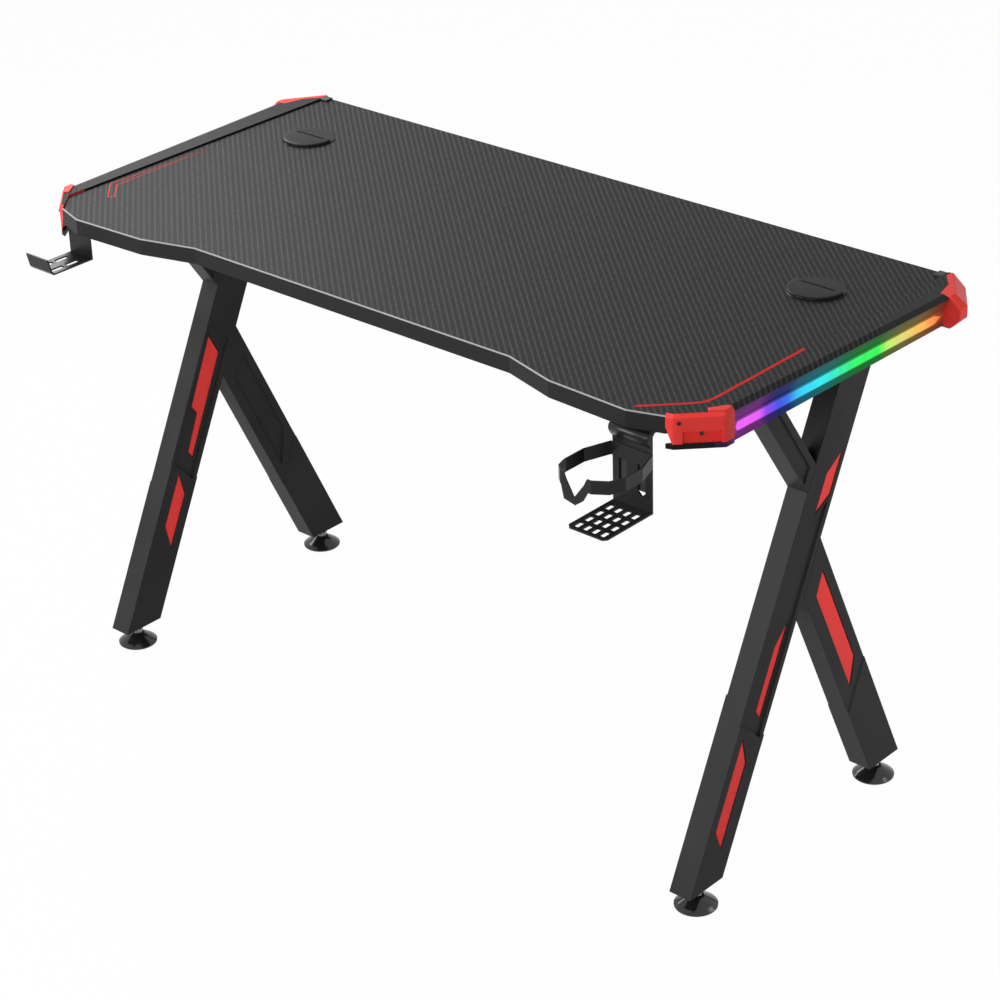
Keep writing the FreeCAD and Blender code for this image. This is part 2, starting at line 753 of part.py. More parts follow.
def make_rail(name, side):
    """A rail that flares to the rear, with its light channel, front base, rear seat and flange."""
    body = new_body(f"side_rail_{name}")
    rear_end = outline(body, f"rail_rear_{name}", "XZ_Plane", [rail_profile(side, d.rail_flare)], -BACK)
    front_end = outline(body, f"rail_front_{name}", "XZ_Plane", [rail_profile(side, ZERO)],
                        -at_depth(CAP_END_DEPTH))
    loft(body, rear_end, front_end)
    base = outline(body, f"rail_base_{name}", "XY_Plane", [front_cap_points(side)], RAIL_BOTTOM)
    pad(body, base, d.rail_base_height)
    behind, corner, slant, *rest = rear_cap_points(side)
    around = [behind, (slant[0], behind[1])] + rest
    cap = outline(body, f"rail_rear_seat_{name}", "XY_Plane", [around], RAIL_TOP + d.overrun)
    pocket(body, cap, d.rail_height + d.overrun * 2)
    front, rear = plate_span()
    inside = d.board_half_width
    corners = flip(box_points(inside - d.rail_flange_reach - d.overrun, inside, front - d.insert_gap,
                              rear + d.insert_gap), side)
    notch = outline(body, f"rail_plate_notch_{name}", "XY_Plane", [corners], UNDER + d.overrun)
    pocket(body, notch, d.rail_flange_thickness + d.overrun)
    holes = circles(body, f"rail_screw_holes_{name}", "XY_Plane", rail_screw_places(side),
                    d.screw_radius + d.screw_gap, UNDER + d.overrun)
    pocket(body, holes, d.rail_flange_thickness + d.overrun * 2)
    return body


def channel_bar(label, side, near, far, margin):
    """A bar in the light channel, from the front cap to the rear cap, following the rail's flare."""
    body = new_body(label)
    high = TOP - d.channel_top_drop - margin
    low = TOP - d.channel_top_drop - d.channel_height + margin
    shift = d.rail_flare * CHANNEL_FLARE_SHARE * (CAP_END_DEPTH - d.rear_cap_length) / CAP_END_DEPTH
    ends = []
    for end, depth, out in (("rear", d.rear_cap_length, shift), ("front", CAP_END_DEPTH, ZERO)):
        inside = d.board_half_width + out
        corners = flip(box_points(inside + near, inside + far, low, high), side)
        ends.append(outline(body, f"{label}_{end}", "XZ_Plane", [corners], -at_depth(depth)))
    loft(body, *ends)
    return body


def make_front_cap(name, side):
    """A moulded cap on the cut front corner, with a sunk panel on its slanted face."""
    body = new_body(f"front_cap_{name}")
    bottom = RAIL_BOTTOM + d.rail_base_height
    plan = outline(body, f"front_cap_plan_{name}", "XY_Plane", [front_cap_points(side)], bottom)
    pad(body, plan, d.rail_height - d.rail_base_height)
    nose = CAP_NOSE_X + d.front_cap_panel_inset
    end = RAIL_OUT - d.front_cap_panel_inset
    nose_y = at_depth(CAP_NOSE_DEPTH) + d.front_cap_panel_inset
    end_y = at_depth(CAP_SIDE_DEPTH) - d.front_cap_panel_inset
    out = d.overrun
    sunk = d.front_cap_panel_recess
    panel = flip([(nose - sunk, nose_y + sunk), (nose + out, nose_y - out),
                  (end + out, end_y - out), (end - sunk, end_y + sunk)], side)
    sketch = outline(body, f"front_cap_panel_{name}", "XY_Plane", [panel], bottom)
    pocket(body, sketch, d.front_cap_panel_height, reverse=True)
    wedge = flip([(CORNER_FRONT_X - d.overrun, bottom - d.overrun),
                  (CORNER_FRONT_X + d.front_cap_slant, bottom - d.overrun),
                  (CORNER_FRONT_X - d.overrun, bottom + d.front_cap_slant_height)], side)
    sketch = outline(body, f"front_cap_slant_{name}", "XZ_Plane", [wedge],
                     d.front_cap_slant * 2 - at_depth(CORNER_FRONT_DEPTH))
    pocket(body, sketch, d.front_cap_slant * 6)
    return body


def make_rear_cap(name, side):
    """A faceted cap at the rear end of a rail."""
    body = new_body(f"rear_cap_{name}")
    plan = outline(body, f"rear_cap_plan_{name}", "XY_Plane", [rear_cap_points(side)], RAIL_BOTTOM)
    pad(body, plan, d.rail_height)
    edges = []
    for index, edge in enumerate(body.Shape.Edges, start=1):
        box = edge.BoundBox
        reach = max(abs(box.XMin), abs(box.XMax))
        outer = d.board_half_width.value + d.rear_cap_bulge.value
        if box.ZLength < d.sleeve_gap.value and abs(reach - outer) < d.sleeve_gap.value:
            if box.XLength < d.sleeve_gap.value or box.YMax > BACK.value:
                edges.append(f"Edge{index}")
    dress(body, "PartDesign::Chamfer", edges, d.rear_cap_facet)
    return body


# Leg frames

def inlay_points(line, half_depth, shares, grow=ZERO, grow_ends=ZERO):
    """A slanted inlay on a leg, its long sides along the leg."""
    front = half_depth * shares["front_share"] - grow
    rear = half_depth * shares["rear_share"] + grow
    height = PLATE_UNDER - d.leg_bottom
    front_low = d.leg_bottom + height * shares["front_low_share"] - grow_ends
    front_high = d.leg_bottom + height * shares["front_high_share"] + grow_ends
    rear_low = d.leg_bottom + height * shares["rear_low_share"] - grow_ends
    rear_high = d.leg_bottom + height * shares["rear_high_share"] + grow_ends
    return [
        (line(front_low, front), front_low), (line(rear_low, rear), rear_low),
        (line(rear_high, rear), rear_high), (line(front_high, front), front_high),
    ]


def leg_strip(line, half_depth, front_low, rear_low, front_high, rear_high):
    """A stretch of a leg between two slanted ends."""
    return [
        (line(front_low, -half_depth), front_low), (line(rear_low, half_depth), rear_low),
        (line(rear_high, half_depth), rear_high), (line(front_high, -half_depth), front_high),
    ]


def long_inlay_points(grow=ZERO, grow_ends=ZERO):
    """The notched inlay on the inner face of a long leg."""
    points = []
    for across, up, across_way, up_way in LONG_INLAY_SHARES:
        height = d.leg_bottom + (PLATE_UNDER - d.leg_bottom) * up + grow_ends * up_way
        points.append((long_leg_y(height, d.long_leg_depth / 2 * across + grow * across_way), height))
    return points


def layer(body, name, side, loops, thickness):
    """A layer of a leg, even about the frame's middle plane."""
    sketch = outline(body, name, "YZ_Plane", loops, FRAME_X * side)
    return pad(body, sketch, thickness, midplane=True)


def face_layer(body, name, side, way, loops, low, high):
    """A layer on one face of a leg, from one width of the leg to another."""
    middle = FRAME_X * side + (low + high) / 4 * (side * way)
    sketch = outline(body, name, "YZ_Plane", loops, middle)
    return pad(body, sketch, (high - low) / 2, midplane=True)


def face_cut(body, name, side, way, points, low, high):
    """Sink an outline into one face of a leg, from above one width of the leg down to another."""
    high = high + d.overrun * 2
    sketch = outline(body, name, "YZ_Plane", [points], FRAME_X * side + (low + high) / 4 * (side * way))
    return pocket(body, sketch, (high - low) / 2, midplane=True)


def hollow(body, name, side, points):
    """Open the inside of a leg from end to end."""
    sketch = outline(body, name, "YZ_Plane", [points], FRAME_X * side)
    return pocket(body, sketch, d.leg_core_width - d.leg_wall * 2, midplane=True)


def leg_inlays(face, grow=ZERO, grow_ends=ZERO):
    """The inlays on one face of a frame: leg, outline, and the widths of the leg under it and round it."""
    half = d.long_leg_depth / 2
    sunk = (d.leg_core_width, d.leg_mid_width)
    flush = (d.leg_mid_width, d.leg_flange_width)
    deep = (d.leg_mid_width, d.leg_width)
    if face == "inner":
        low = inlay_points(long_leg_y, half, INNER_INLAY_SHARES, grow, grow_ends)
        return {"long": ("long", long_inlay_points(grow, grow_ends), *sunk), "low": ("long", low, *deep)}
    rear = inlay_points(rear_leg_y, d.rear_leg_depth / 2, REAR_INLAY_SHARES, grow, grow_ends)
    return {
        "upper": ("long", inlay_points(long_leg_y, half, UPPER_INLAY_SHARES, grow, grow_ends), *flush),
        "middle": ("long", inlay_points(long_leg_y, half, MIDDLE_INLAY_SHARES, grow, grow_ends), *sunk),
        "lower": ("long", inlay_points(long_leg_y, half, LOWER_INLAY_SHARES, grow, grow_ends), *deep),
        "rear": ("rear", rear, *flush),
    }


def cut_windows(body, leg, name, side):
    """Sink the seats of the inlays into both faces of a leg."""
    for face, way in FACE_WAYS.items():
        for key, (owner, points, floor, cover) in leg_inlays(face, d.insert_gap, d.insert_end_gap).items():
            if owner == leg:
                face_cut(body, f"window_{key}_{face}_{name}", side, way, points, floor, cover)


def make_long_leg(name, side):
    """The long leg from the front foot to the top plate, with sunk sides above its lower covers."""
    body = new_body(f"long_leg_{name}")
    half = d.long_leg_depth / 2
    whole = leg_strip(long_leg_y, half, d.leg_bottom, d.leg_bottom, PLATE_UNDER, PLATE_UNDER)
    layer(body, f"long_whole_{name}", side, [whole], d.leg_flange_width)
    steps = {"outer": ("lower_step", "upper_step"), "inner": ("inner_step", "inner_top")}
    for face, way in FACE_WAYS.items():
        low, high = steps[face]
        ends = [leg_height(f"{low}_front"), leg_height(f"{low}_rear")]
        tops = [leg_height(f"{high}_front"), leg_height(f"{high}_rear")]
        cover = leg_strip(long_leg_y, half, d.leg_bottom, d.leg_bottom, *ends)
        face_layer(body, f"long_cover_{face}_{name}", side, way, [cover], d.leg_flange_width, d.leg_width)
        sunk = [
            (long_leg_y(ends[0], d.recess_front_margin - half), ends[0]),
            (long_leg_y(ends[1], half - d.recess_rear_margin), ends[1]),
            (long_leg_y(tops[1], half - d.recess_rear_margin), tops[1]),
            (long_leg_y(tops[0], d.recess_front_margin - half), tops[0]),
        ]
        face_cut(body, f"long_sunk_{face}_{name}", side, way, sunk, d.leg_mid_width, d.leg_flange_width)
    cut_windows(body, "long", name, side)
    inner = half - d.leg_wall
    cavity = leg_strip(long_leg_y, inner, d.leg_bottom - d.overrun, d.leg_bottom - d.overrun,
                       PLATE_UNDER + d.overrun, PLATE_UNDER + d.overrun)
    hollow(body, f"long_cavity_{name}", side, cavity)
    return body


def make_rear_leg(name, side):
    """The short leg from the rear foot to the long leg, with a full-width block at its foot."""
    body = new_body(f"rear_leg_{name}")
    half = d.rear_leg_depth / 2
    whole = leg_strip(rear_leg_y, half, d.leg_bottom, d.leg_bottom, rear_leg_top(-half), rear_leg_top(half))
    layer(body, f"rear_whole_{name}", side, [whole], d.leg_flange_width)
    block = leg_strip(rear_leg_y, half, d.leg_bottom, d.leg_bottom, leg_height("foot_block_front"),
                      leg_height("foot_block_rear"))
    layer(body, f"rear_block_{name}", side, [block], d.leg_width)
    panel = inlay_points(rear_leg_y, half, REAR_PANEL_SHARES)
    face_cut(body, f"rear_panel_{name}", side, FACE_WAYS["inner"], panel, d.leg_mid_width, d.leg_width)
    cut_windows(body, "rear", name, side)
    inner = half - d.leg_wall
    cavity = leg_strip(rear_leg_y, inner, d.leg_bottom - d.overrun, d.leg_bottom - d.overrun,
                       rear_leg_top(-inner), rear_leg_top(inner))
    hollow(body, f"rear_cavity_{name}", side, cavity)
    return body


STRUT_JOINT_HEIGHT = leg_height("strut_joint")
STRUT_FOOT_Y = long_leg_y(STRUT_JOINT_HEIGHT, -d.long_leg_depth / 2)
STRUT_TOP_Y = at_depth(STRUT_TOP_DEPTH + d.strut_depth / 2)
STRUT_SLOPE = (STRUT_TOP_Y - STRUT_FOOT_Y) / (PLATE_UNDER - STRUT_JOINT_HEIGHT)


def strut_y(height, across=ZERO):
    """Y on the strut at a height, a distance rearward of its front face."""
    return STRUT_FOOT_Y + STRUT_SLOPE * (height - STRUT_JOINT_HEIGHT) + across


def strut_foot(across):
    """Height at which a line of the strut meets the long leg's front face."""
    start = strut_y(ZERO, across) - long_leg_y(ZERO, -d.long_leg_depth / 2)
    return start / (LONG_SLOPE - STRUT_SLOPE)


def strut_points(front, rear, top, lift=ZERO):
    """A stretch of the strut between two of its lines."""
    low_front = strut_foot(front) + lift
    low_rear = strut_foot(rear) + lift
    return [(strut_y(low_front, front), low_front), (strut_y(low_rear, rear), low_rear),
            (strut_y(top, rear), top), (strut_y(top, front), top)]


def make_strut(name, side):
    """The strut from the long leg forward to the top plate, with a sunk panel on each side."""
    body = new_body(f"front_strut_{name}")
    whole = strut_points(ZERO, d.strut_depth, PLATE_UNDER)
    panel = strut_points(d.strut_recess_front, d.strut_depth - d.strut_recess_rear,
                         PLATE_UNDER - d.strut_recess_end, d.strut_recess_end)
    layer(body, f"strut_core_{name}", side, [whole], d.leg_mid_width)
    layer(body, f"strut_skin_{name}", side, [whole, panel], d.leg_flange_width)
    inner = strut_points(d.leg_wall, d.strut_depth - d.leg_wall, PLATE_UNDER + d.overrun)
    hollow(body, f"strut_cavity_{name}", side, inner)
    return body


def make_inlays(name, side):
    """Red inlays pressed into both faces of a frame's legs."""
    pieces = []
    for face, way in FACE_WAYS.items():
        for key, (_, points, floor, cover) in leg_inlays(face).items():
            body = new_body(f"inlay_{key}_{face}_{name}")
            face_layer(body, f"inlay_plan_{key}_{face}_{name}", side, way, [points], floor,
                       cover - d.insert_inset * 2)
            pieces.append(body)
    return group(f"leg_inlays_{name}", pieces)


def make_top_plate(name, side):
    """The plate that joins a leg frame to the board."""
    body = new_body(f"top_plate_{name}")
    front, rear = plate_span()
    low = FRAME_X * side - d.plate_width / 2
    high = FRAME_X * side + d.plate_width / 2
    corners = box_points(low, high, front, rear)
    sketch = outline(body, f"plate_plan_{name}", "XY_Plane", [corners], PLATE_UNDER)
    pad(body, sketch, d.plate_thickness)
    dress(body, "PartDesign::Fillet", upright_edges(body), d.screw_edge)
    holes = circles(body, f"plate_holes_{name}", "XY_Plane", plate_screw_places(side),
                    d.screw_radius + d.screw_gap, UNDER + d.overrun)
    pocket(body, holes, d.plate_thickness + d.overrun * 2)
    return body


def make_crossbar(name, depth):
    """A box tube across the desk with a flat tab at each end."""
    body = new_body(f"{name}_crossbar")
    y = at_depth(depth)
    half = d.crossbar_width / 2
    wall = d.crossbar_wall
    bottom = UNDER - d.crossbar_height
    outer = box_points(y - half, y + half, bottom, UNDER)
    inner = box_points(y - half + wall, y + half - wall, bottom + wall, UNDER - wall)
    tube = outline(body, f"{name}_bar_section", "YZ_Plane", [outer, inner])
    pad(body, tube, CROSSBAR_HALF * 2, midplane=True)
    start = CROSSBAR_HALF - d.crossbar_wall
    for side_name, side in SIDES.items():
        corners = flip(box_points(start, CROSSBAR_END_X, y - half, y + half), side)
        tab = outline(body, f"{name}_bar_tab_{side_name}", "XY_Plane", [corners], PLATE_UNDER)
        pad(body, tab, d.plate_thickness)
    holes = circles(body, f"{name}_bar_holes", "XY_Plane", crossbar_screw_places(depth),
                    d.screw_radius + d.screw_gap, UNDER + d.overrun)
    pocket(body, holes, d.plate_thickness + d.overrun * 2)
    return body


# Levelling feet

FEET = {
    "front": (FRONT_FOOT_Y, long_leg_y, d.long_leg_depth),
    "rear": (REAR_FOOT_Y, rear_leg_y, d.rear_leg_depth),
}


def make_foot_plug(name, side, end):
    """The plug in a leg's lower end, with the threaded bore that takes the stud."""
    y, line, depth = FEET[end]
    body = new_body(f"foot_plug_{end}_{name}")
    half = depth / 2 - d.leg_wall
    top = d.leg_bottom + d.plug_height
    points = leg_strip(line, half, d.leg_bottom, d.leg_bottom, top, top)
    layer(body, f"plug_block_{end}_{name}", side, [points], d.leg_core_width - d.leg_wall * 2)
    bore = circles(body, f"plug_bore_{end}_{name}", "XY_Plane", [(FRAME_X * side, y)],
                   d.stud_radius + d.stud_gap, top + d.overrun)
    pocket(body, bore, d.plug_height + d.overrun * 2)
    return body


def make_foot_stud(name, side, end):
    """The threaded stud with its hexagonal collar."""
    body = new_body(f"foot_stud_{end}_{name}")
    seat = d.stud_seat + d.stud_gap
    shaft = circles(body, f"stud_shaft_{end}_{name}", "XY_Plane", [(ZERO, ZERO)], d.stud_radius, seat)
    pad(body, shaft, d.stud_top - seat)
    flat = d.collar_across_flats / 2
    corner = flat / math.cos(math.pi / HEXAGON_SIDES)
    hexagon = [(corner, ZERO), (corner / 2, flat), (-corner / 2, flat),
               (-corner, ZERO), (-corner / 2, -flat), (corner / 2, -flat)]
    collar = outline(body, f"stud_collar_{end}_{name}", "XY_Plane", [hexagon], d.collar_bottom)
    pad(body, collar, d.collar_height)
    return place(body, FRAME_X * side, FEET[end][0], ZERO)


def make_foot_pad(name, side, end):
    """The domed pad that stands on the floor, with a socket for the stud's end."""
    body = new_body(f"foot_pad_{end}_{name}")
    socket = d.stud_radius + d.stud_gap
    revolve(body, f"pad_profile_{end}_{name}", [
        (ZERO, ZERO), (d.pad_radius - d.pad_rim / 3, ZERO), (d.pad_radius, d.pad_rim / 3),
        (d.pad_radius, d.pad_rim), (d.pad_shoulder_radius, d.pad_shoulder),
        (d.pad_neck_radius, d.pad_height), (socket, d.pad_height),
        (socket, d.stud_seat), (ZERO, d.stud_seat),
    ])
    return place(body, FRAME_X * side, FEET[end][0], ZERO)


# Cup holder and headphone hook

def bent_sheet(body, name, x, width, points):
    """Extrude the section of a bent sheet across its width."""
    sketch = outline(body, name, "YZ_Plane", [points], x)
    return pad(body, sketch, width, midplane=True)


def flange_points(front):
    """Section of the flange under the board and the bend down to a plate, for both bent sheets."""
    thick = d.sheet_thickness
    return [
        (front, UNDER - d.cup_bend), (front + d.cup_bend, UNDER), (front + d.cup_flange, UNDER),
        (front + d.cup_flange, UNDER - thick), (front + d.cup_bend + thick / 2, UNDER - thick),
        (front + thick, UNDER - d.cup_bend - thick / 2),
    ]


def make_cup_bracket():
    """A bent sheet: flange under the board, pierced back plate and slotted tray."""
    body = new_body("cup_bracket")
    front = at_depth(CUP_PLATE_DEPTH)
    low = UNDER - d.cup_drop
    tray_end = front - d.cup_tray_length
    thick = d.sheet_thickness
    bent_sheet(body, "cup_section", CUP_X, d.cup_width, flange_points(front) + [
        (front + thick, low), (tray_end, low), (tray_end, low + thick), (front, low + thick),
    ])
    slots = []
    slot_low = UNDER - d.plate_slot_high
    slot_high = UNDER - d.plate_slot_low
    for share in PLATE_SLOT_SHARES:
        middle = CUP_X + d.cup_width * share
        half = d.plate_slot_width / 2
        slots.append([(middle - half, slot_low + half), (middle, slot_low), (middle + half, slot_low + half),
                      (middle + half, slot_high), (middle - half, slot_high)])
    openings = outline(body, "cup_plate_slots", "XZ_Plane", slots, d.overrun - front)
    pocket(body, openings, d.sheet_thickness + d.overrun * 2)
    rows = []
    for share in TRAY_ROW_SHARES:
        middle = CUP_X + d.cup_width * share
        half = d.tray_slot_width / 2
        for count in range(TRAY_ROW_COUNT):
            start = tray_end + d.tray_bar + (d.tray_slot_length + d.tray_bar) * count
            rows.append(box_points(middle - half, middle + half, start, start + d.tray_slot_length))
    for side in SIDES.values():
        edge = CUP_X + (d.cup_width / 2 + d.overrun) * side
        near = CUP_X + (d.cup_width / 2 - d.tray_corner) * side
        rows.append([(edge, tray_end - d.overrun), (edge, tray_end + d.tray_corner), (near, tray_end - d.overrun)])
    grid = outline(body, "cup_tray_slots", "XY_Plane", rows, low + d.sheet_thickness + d.overrun)
    pocket(body, grid, d.sheet_thickness + d.overrun * 2)
    holes = circles(body, "cup_flange_holes", "XY_Plane", cup_screw_places(), d.screw_radius + d.screw_gap,
                    UNDER + d.overrun)
    pocket(body, holes, d.sheet_thickness + d.overrun * 2)
    return body


def ring_points(inset):
    """The ring's outline, drawn in evenly by an inset."""
    front = at_depth(CUP_PLATE_DEPTH)
    width = d.ring_width - inset * 2
    depth = d.ring_depth - inset * 2
    return [(CUP_X + width * across, front - inset - depth * out) for across, out in RING_SHARES]


def make_cup_ring():
    """A strap bent round to hold the cup, dipped at its front and riveted to the back plate."""
    body = new_body("cup_ring")
    loops = [ring_points(ZERO), ring_points(d.ring_strap)]
    low = UNDER - d.ring_drop
    strap = outline(body, "ring_outline", "XY_Plane", loops, low)
    pad(body, strap, d.ring_height)
    front = at_depth(CUP_PLATE_DEPTH) - d.ring_depth
    corners = [(CUP_X + d.ring_width * across, low + d.ring_height * up) for across, up in RING_GAP_SHARES]
    left, low_left, low_right, right = corners
    gap = [(left[0], left[1] + d.overrun), (low_left[0], low_left[1] - d.overrun),
           (low_right[0], low_right[1] - d.overrun), (right[0], right[1] + d.overrun)]
    opening = outline(body, "ring_gap", "XZ_Plane", [gap], d.overrun - front)
    pocket(body, opening, d.ring_strap + d.overrun * 2)
    dip = [(CUP_X + d.ring_width * across, low + d.ring_height * up) for across, up in RING_DIP_SHARES]
    band = outline(body, "ring_dip", "XZ_Plane", [dip], -front - d.ring_strap)
    pad(body, band, d.ring_strap)
    return body


def make_hook():
    """A bent sheet hook: flange under the board, plate, slotted arm and upturned lip."""
    body = new_body("headphone_hook")
    front = at_depth(HOOK_PLATE_DEPTH)
    low = UNDER - d.hook_drop
    end = front - d.hook_arm
    lip = low + d.hook_lip
    thick = d.sheet_thickness
    bent_sheet(body, "hook_section", HOOK_X, d.hook_width, flange_points(front) + [
        (front + thick, low), (end + d.cup_bend, low), (end, low + d.cup_bend), (end - d.cup_bend, lip),
        (end - d.cup_bend + thick, lip), (end + thick, low + d.cup_bend + thick / 2),
        (end + d.cup_bend + thick / 2, low + thick), (front, low + thick),
    ])
    slots = []
    for share in HOOK_SLOT_SHARES:
        middle = HOOK_X + d.hook_width * share
        half = d.hook_slot_width / 2
        for count in range(HOOK_ROW_COUNT):
            start = end + d.cup_bend * 2 + (d.hook_slot_length + d.tray_bar) * count
            slots.append(box_points(middle - half, middle + half, start, start + d.hook_slot_length))
    grid = outline(body, "hook_slots", "XY_Plane", slots, low + d.sheet_thickness + d.overrun)
    pocket(body, grid, d.sheet_thickness + d.overrun * 2)
    holes = circles(body, "hook_flange_holes", "XY_Plane", hook_screw_places(), d.screw_radius + d.screw_gap,
                    UNDER + d.overrun)
    pocket(body, holes, d.sheet_thickness + d.overrun * 2)
    return body


# Light controller

def make_controller():
    """A small box under the board with a button well at the front and a power inlet at the rear."""
    body = new_body("controller_box")
    y = at_depth(d.controller_depth)
    half = d.controller_length / 2
    deep = d.controller_width / 2
    bottom = UNDER - d.controller_height
    case = box_points(CONTROLLER_X - half, CONTROLLER_X + half, y - deep, y + deep)
    pad(body, outline(body, "controller_case", "XY_Plane", [case], bottom), d.controller_height)
    dress(body, "PartDesign::Fillet", upright_edges(body), d.controller_round)
    reach = half + d.controller_ear
    ears = box_points(CONTROLLER_X - reach, CONTROLLER_X + reach, y - deep / 2, y + deep / 2)
    plan = outline(body, "controller_ears", "XY_Plane", [ears], UNDER - d.plate_thickness)
    pad(body, plan, d.plate_thickness)
    holes = circles(body, "controller_holes", "XY_Plane", controller_screw_places(),
                    d.screw_radius + d.screw_gap, UNDER + d.overrun)
    pocket(body, holes, d.plate_thickness + d.overrun * 2)
    centre = [(CONTROLLER_X - d.button_offset, bottom + d.controller_height / 2)]
    well = circles(body, "controller_well", "XZ_Plane", centre, d.button_radius + d.button_gap,
                   d.overrun - (y - deep))
    pocket(body, well, d.button_well + d.overrun)
    socket = circles(body, "controller_inlet", "XZ_Plane", [(CONTROLLER_X, bottom + d.controller_height / 2)],
                     d.inlet_radius, -(y + deep))
    pocket(body, socket, d.inlet_depth, reverse=True)
    return body


def make_button():
    """The round button in the controller's well."""
    body = new_body("controller_button")
    face = at_depth(d.controller_depth) - d.controller_width / 2
    centre = [(CONTROLLER_X - d.button_offset, UNDER - d.controller_height / 2)]
    disc = circles(body, "button_disc", "XZ_Plane", centre, d.button_radius, -(face + d.button_stem))
    pad(body, disc, d.button_stem + d.button_proud)
    return body


# Screws

def make_screws(label, places, bearing):
    """A set of equal screws driven up into the board, heads on one bearing height."""
    pieces = []
    for number, (x, y) in enumerate(places, start=1):
        body = new_body(f"{label}_{number}")
        revolve(body, f"{label}_{number}_profile", [
            (ZERO, -d.screw_head_height),
            (d.screw_head_radius - d.screw_head_height / 2, -d.screw_head_height),
            (d.screw_head_radius, -d.screw_head_height / 3), (d.screw_head_radius, ZERO),
            (d.screw_radius, ZERO), (d.screw_radius, d.screw_length), (ZERO, d.screw_length),
        ])
        pieces.append(place(body, x, y, bearing))
    return group(label, pieces)


def make_desk():
    """Build every node of the desk."""
    nodes = [make_board(), make_cup_bracket(), make_cup_ring(), make_hook(), make_controller(), make_button()]
    nodes.append(make_crossbar("front", d.front_crossbar_depth))
    nodes.append(make_crossbar("rear", d.rear_crossbar_depth))
    rail_screws = []
    plate_screws = []
    floor = d.channel_floor_x
    for name, side in SIDES.items():
        nodes += [make_grommet_sleeve(name, side), make_grommet_lid(name, side), make_rail(name, side)]
        strip = floor + d.strip_thickness
        nodes.append(channel_bar(f"led_strip_{name}", side, floor, strip, d.strip_thickness))
        proud = d.channel_mouth_x + d.diffuser_proud
        nodes.append(channel_bar(f"light_diffuser_{name}", side, strip, proud, ZERO))
        nodes += [make_front_cap(name, side), make_rear_cap(name, side)]
        nodes += [make_long_leg(name, side), make_rear_leg(name, side), make_strut(name, side)]
        nodes += [make_inlays(name, side), make_top_plate(name, side)]
        for end in FEET:
            nodes += [make_foot_plug(name, side, end), make_foot_stud(name, side, end)]
            nodes.append(make_foot_pad(name, side, end))
        rail_screws += rail_screw_places(side)
        plate_screws += plate_screw_places(side)
    tabs = crossbar_screw_places(d.front_crossbar_depth) + crossbar_screw_places(d.rear_crossbar_depth)
    nodes.append(make_screws("rail_screws", rail_screws, UNDER - d.rail_flange_thickness))
    nodes.append(make_screws("top_plate_screws", plate_screws, PLATE_UNDER))
    nodes.append(make_screws("crossbar_screws", tabs, PLATE_UNDER))
    nodes.append(make_screws("cup_screws", cup_screw_places(), UNDER - d.sheet_thickness))
    nodes.append(make_screws("hook_screws", hook_screw_places(), UNDER - d.sheet_thickness))
    nodes.append(make_screws("controller_screws", controller_screw_places(), UNDER - d.plate_thickness))
    return nodes


def check_and_write(nodes):
    """Refuse a broken model, then write each node."""
    doc.recompute()
    broken = [item.Name for item in doc.Objects if "Invalid" in item.State or "Error" in item.State]
    if broken:
        raise RuntimeError(f"broken objects: {broken}")
    for node in nodes:
        if node.Shape.isNull() or not node.Shape.isValid():
            raise RuntimeError(f"bad shape: {node.Label}")
    os.makedirs("parts", exist_ok=True)
    for node in nodes:
        node.Shape.exportStep(f"parts/{node.Label}.step")


check_and_write(make_desk())
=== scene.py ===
"""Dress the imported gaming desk: finishes, fine details, studio and camera."""

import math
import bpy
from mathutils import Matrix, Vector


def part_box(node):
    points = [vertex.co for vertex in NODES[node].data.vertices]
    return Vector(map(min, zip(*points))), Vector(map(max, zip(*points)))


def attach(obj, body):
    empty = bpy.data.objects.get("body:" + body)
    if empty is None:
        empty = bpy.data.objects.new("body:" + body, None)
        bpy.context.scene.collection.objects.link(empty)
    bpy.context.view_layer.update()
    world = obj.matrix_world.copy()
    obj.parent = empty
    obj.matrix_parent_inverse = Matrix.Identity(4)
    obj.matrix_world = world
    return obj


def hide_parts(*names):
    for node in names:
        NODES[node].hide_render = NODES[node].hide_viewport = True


bl_info = {
    "name": "Gaming Desk Dressing",
    "version": (1, 0, 0),
    "blender": (4, 5, 0),
    "location": "View3D > Sidebar > Desk",
    "description": "Dresses the packed desk with its finishes and fine details",
    "category": "Object",
}

import bmesh
import bpy
from bpy.props import FloatProperty, FloatVectorProperty, PointerProperty
from bpy.types import Operator, Panel, PropertyGroup
from mathutils import Matrix, Vector

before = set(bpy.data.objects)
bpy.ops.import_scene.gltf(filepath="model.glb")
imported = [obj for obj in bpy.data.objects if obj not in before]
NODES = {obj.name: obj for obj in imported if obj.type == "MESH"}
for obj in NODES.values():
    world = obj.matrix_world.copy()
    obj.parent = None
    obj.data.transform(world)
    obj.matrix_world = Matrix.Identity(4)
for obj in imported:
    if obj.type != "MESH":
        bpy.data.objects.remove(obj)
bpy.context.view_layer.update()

MM = 0.001
SIDES = {"left": -1, "right": 1}
ENDS = ("front", "rear")
DESK = "desk"

# Places read from the frame, in metres.
BOARD_LOW, BOARD_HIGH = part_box("desktop_board")
BOARD_TOP = BOARD_HIGH.z
CAP_LOW, CAP_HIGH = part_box("front_cap_right")
LIGHT_LOW, LIGHT_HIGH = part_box("light_diffuser_right")
LIGHT_MIDDLE = (LIGHT_LOW.z + LIGHT_HIGH.z) / 2.0
LIGHT_HALF = (LIGHT_HIGH.z - LIGHT_LOW.z) / 2.0

# The woven look: its ridges' angle to the board's long edges, and the threads in each knot.
WEAVE_ANGLE = math.radians(42.0)
THREADS_PER_KNOT = 3.0

# Where the woven sheet on the right rail narrows: from front to rear, and from broad to narrow.
SHEET_DEPTHS = (20.0 * MM, 215.0 * MM)
SHEET_BREADTHS = (640.0 * MM, 600.0 * MM)

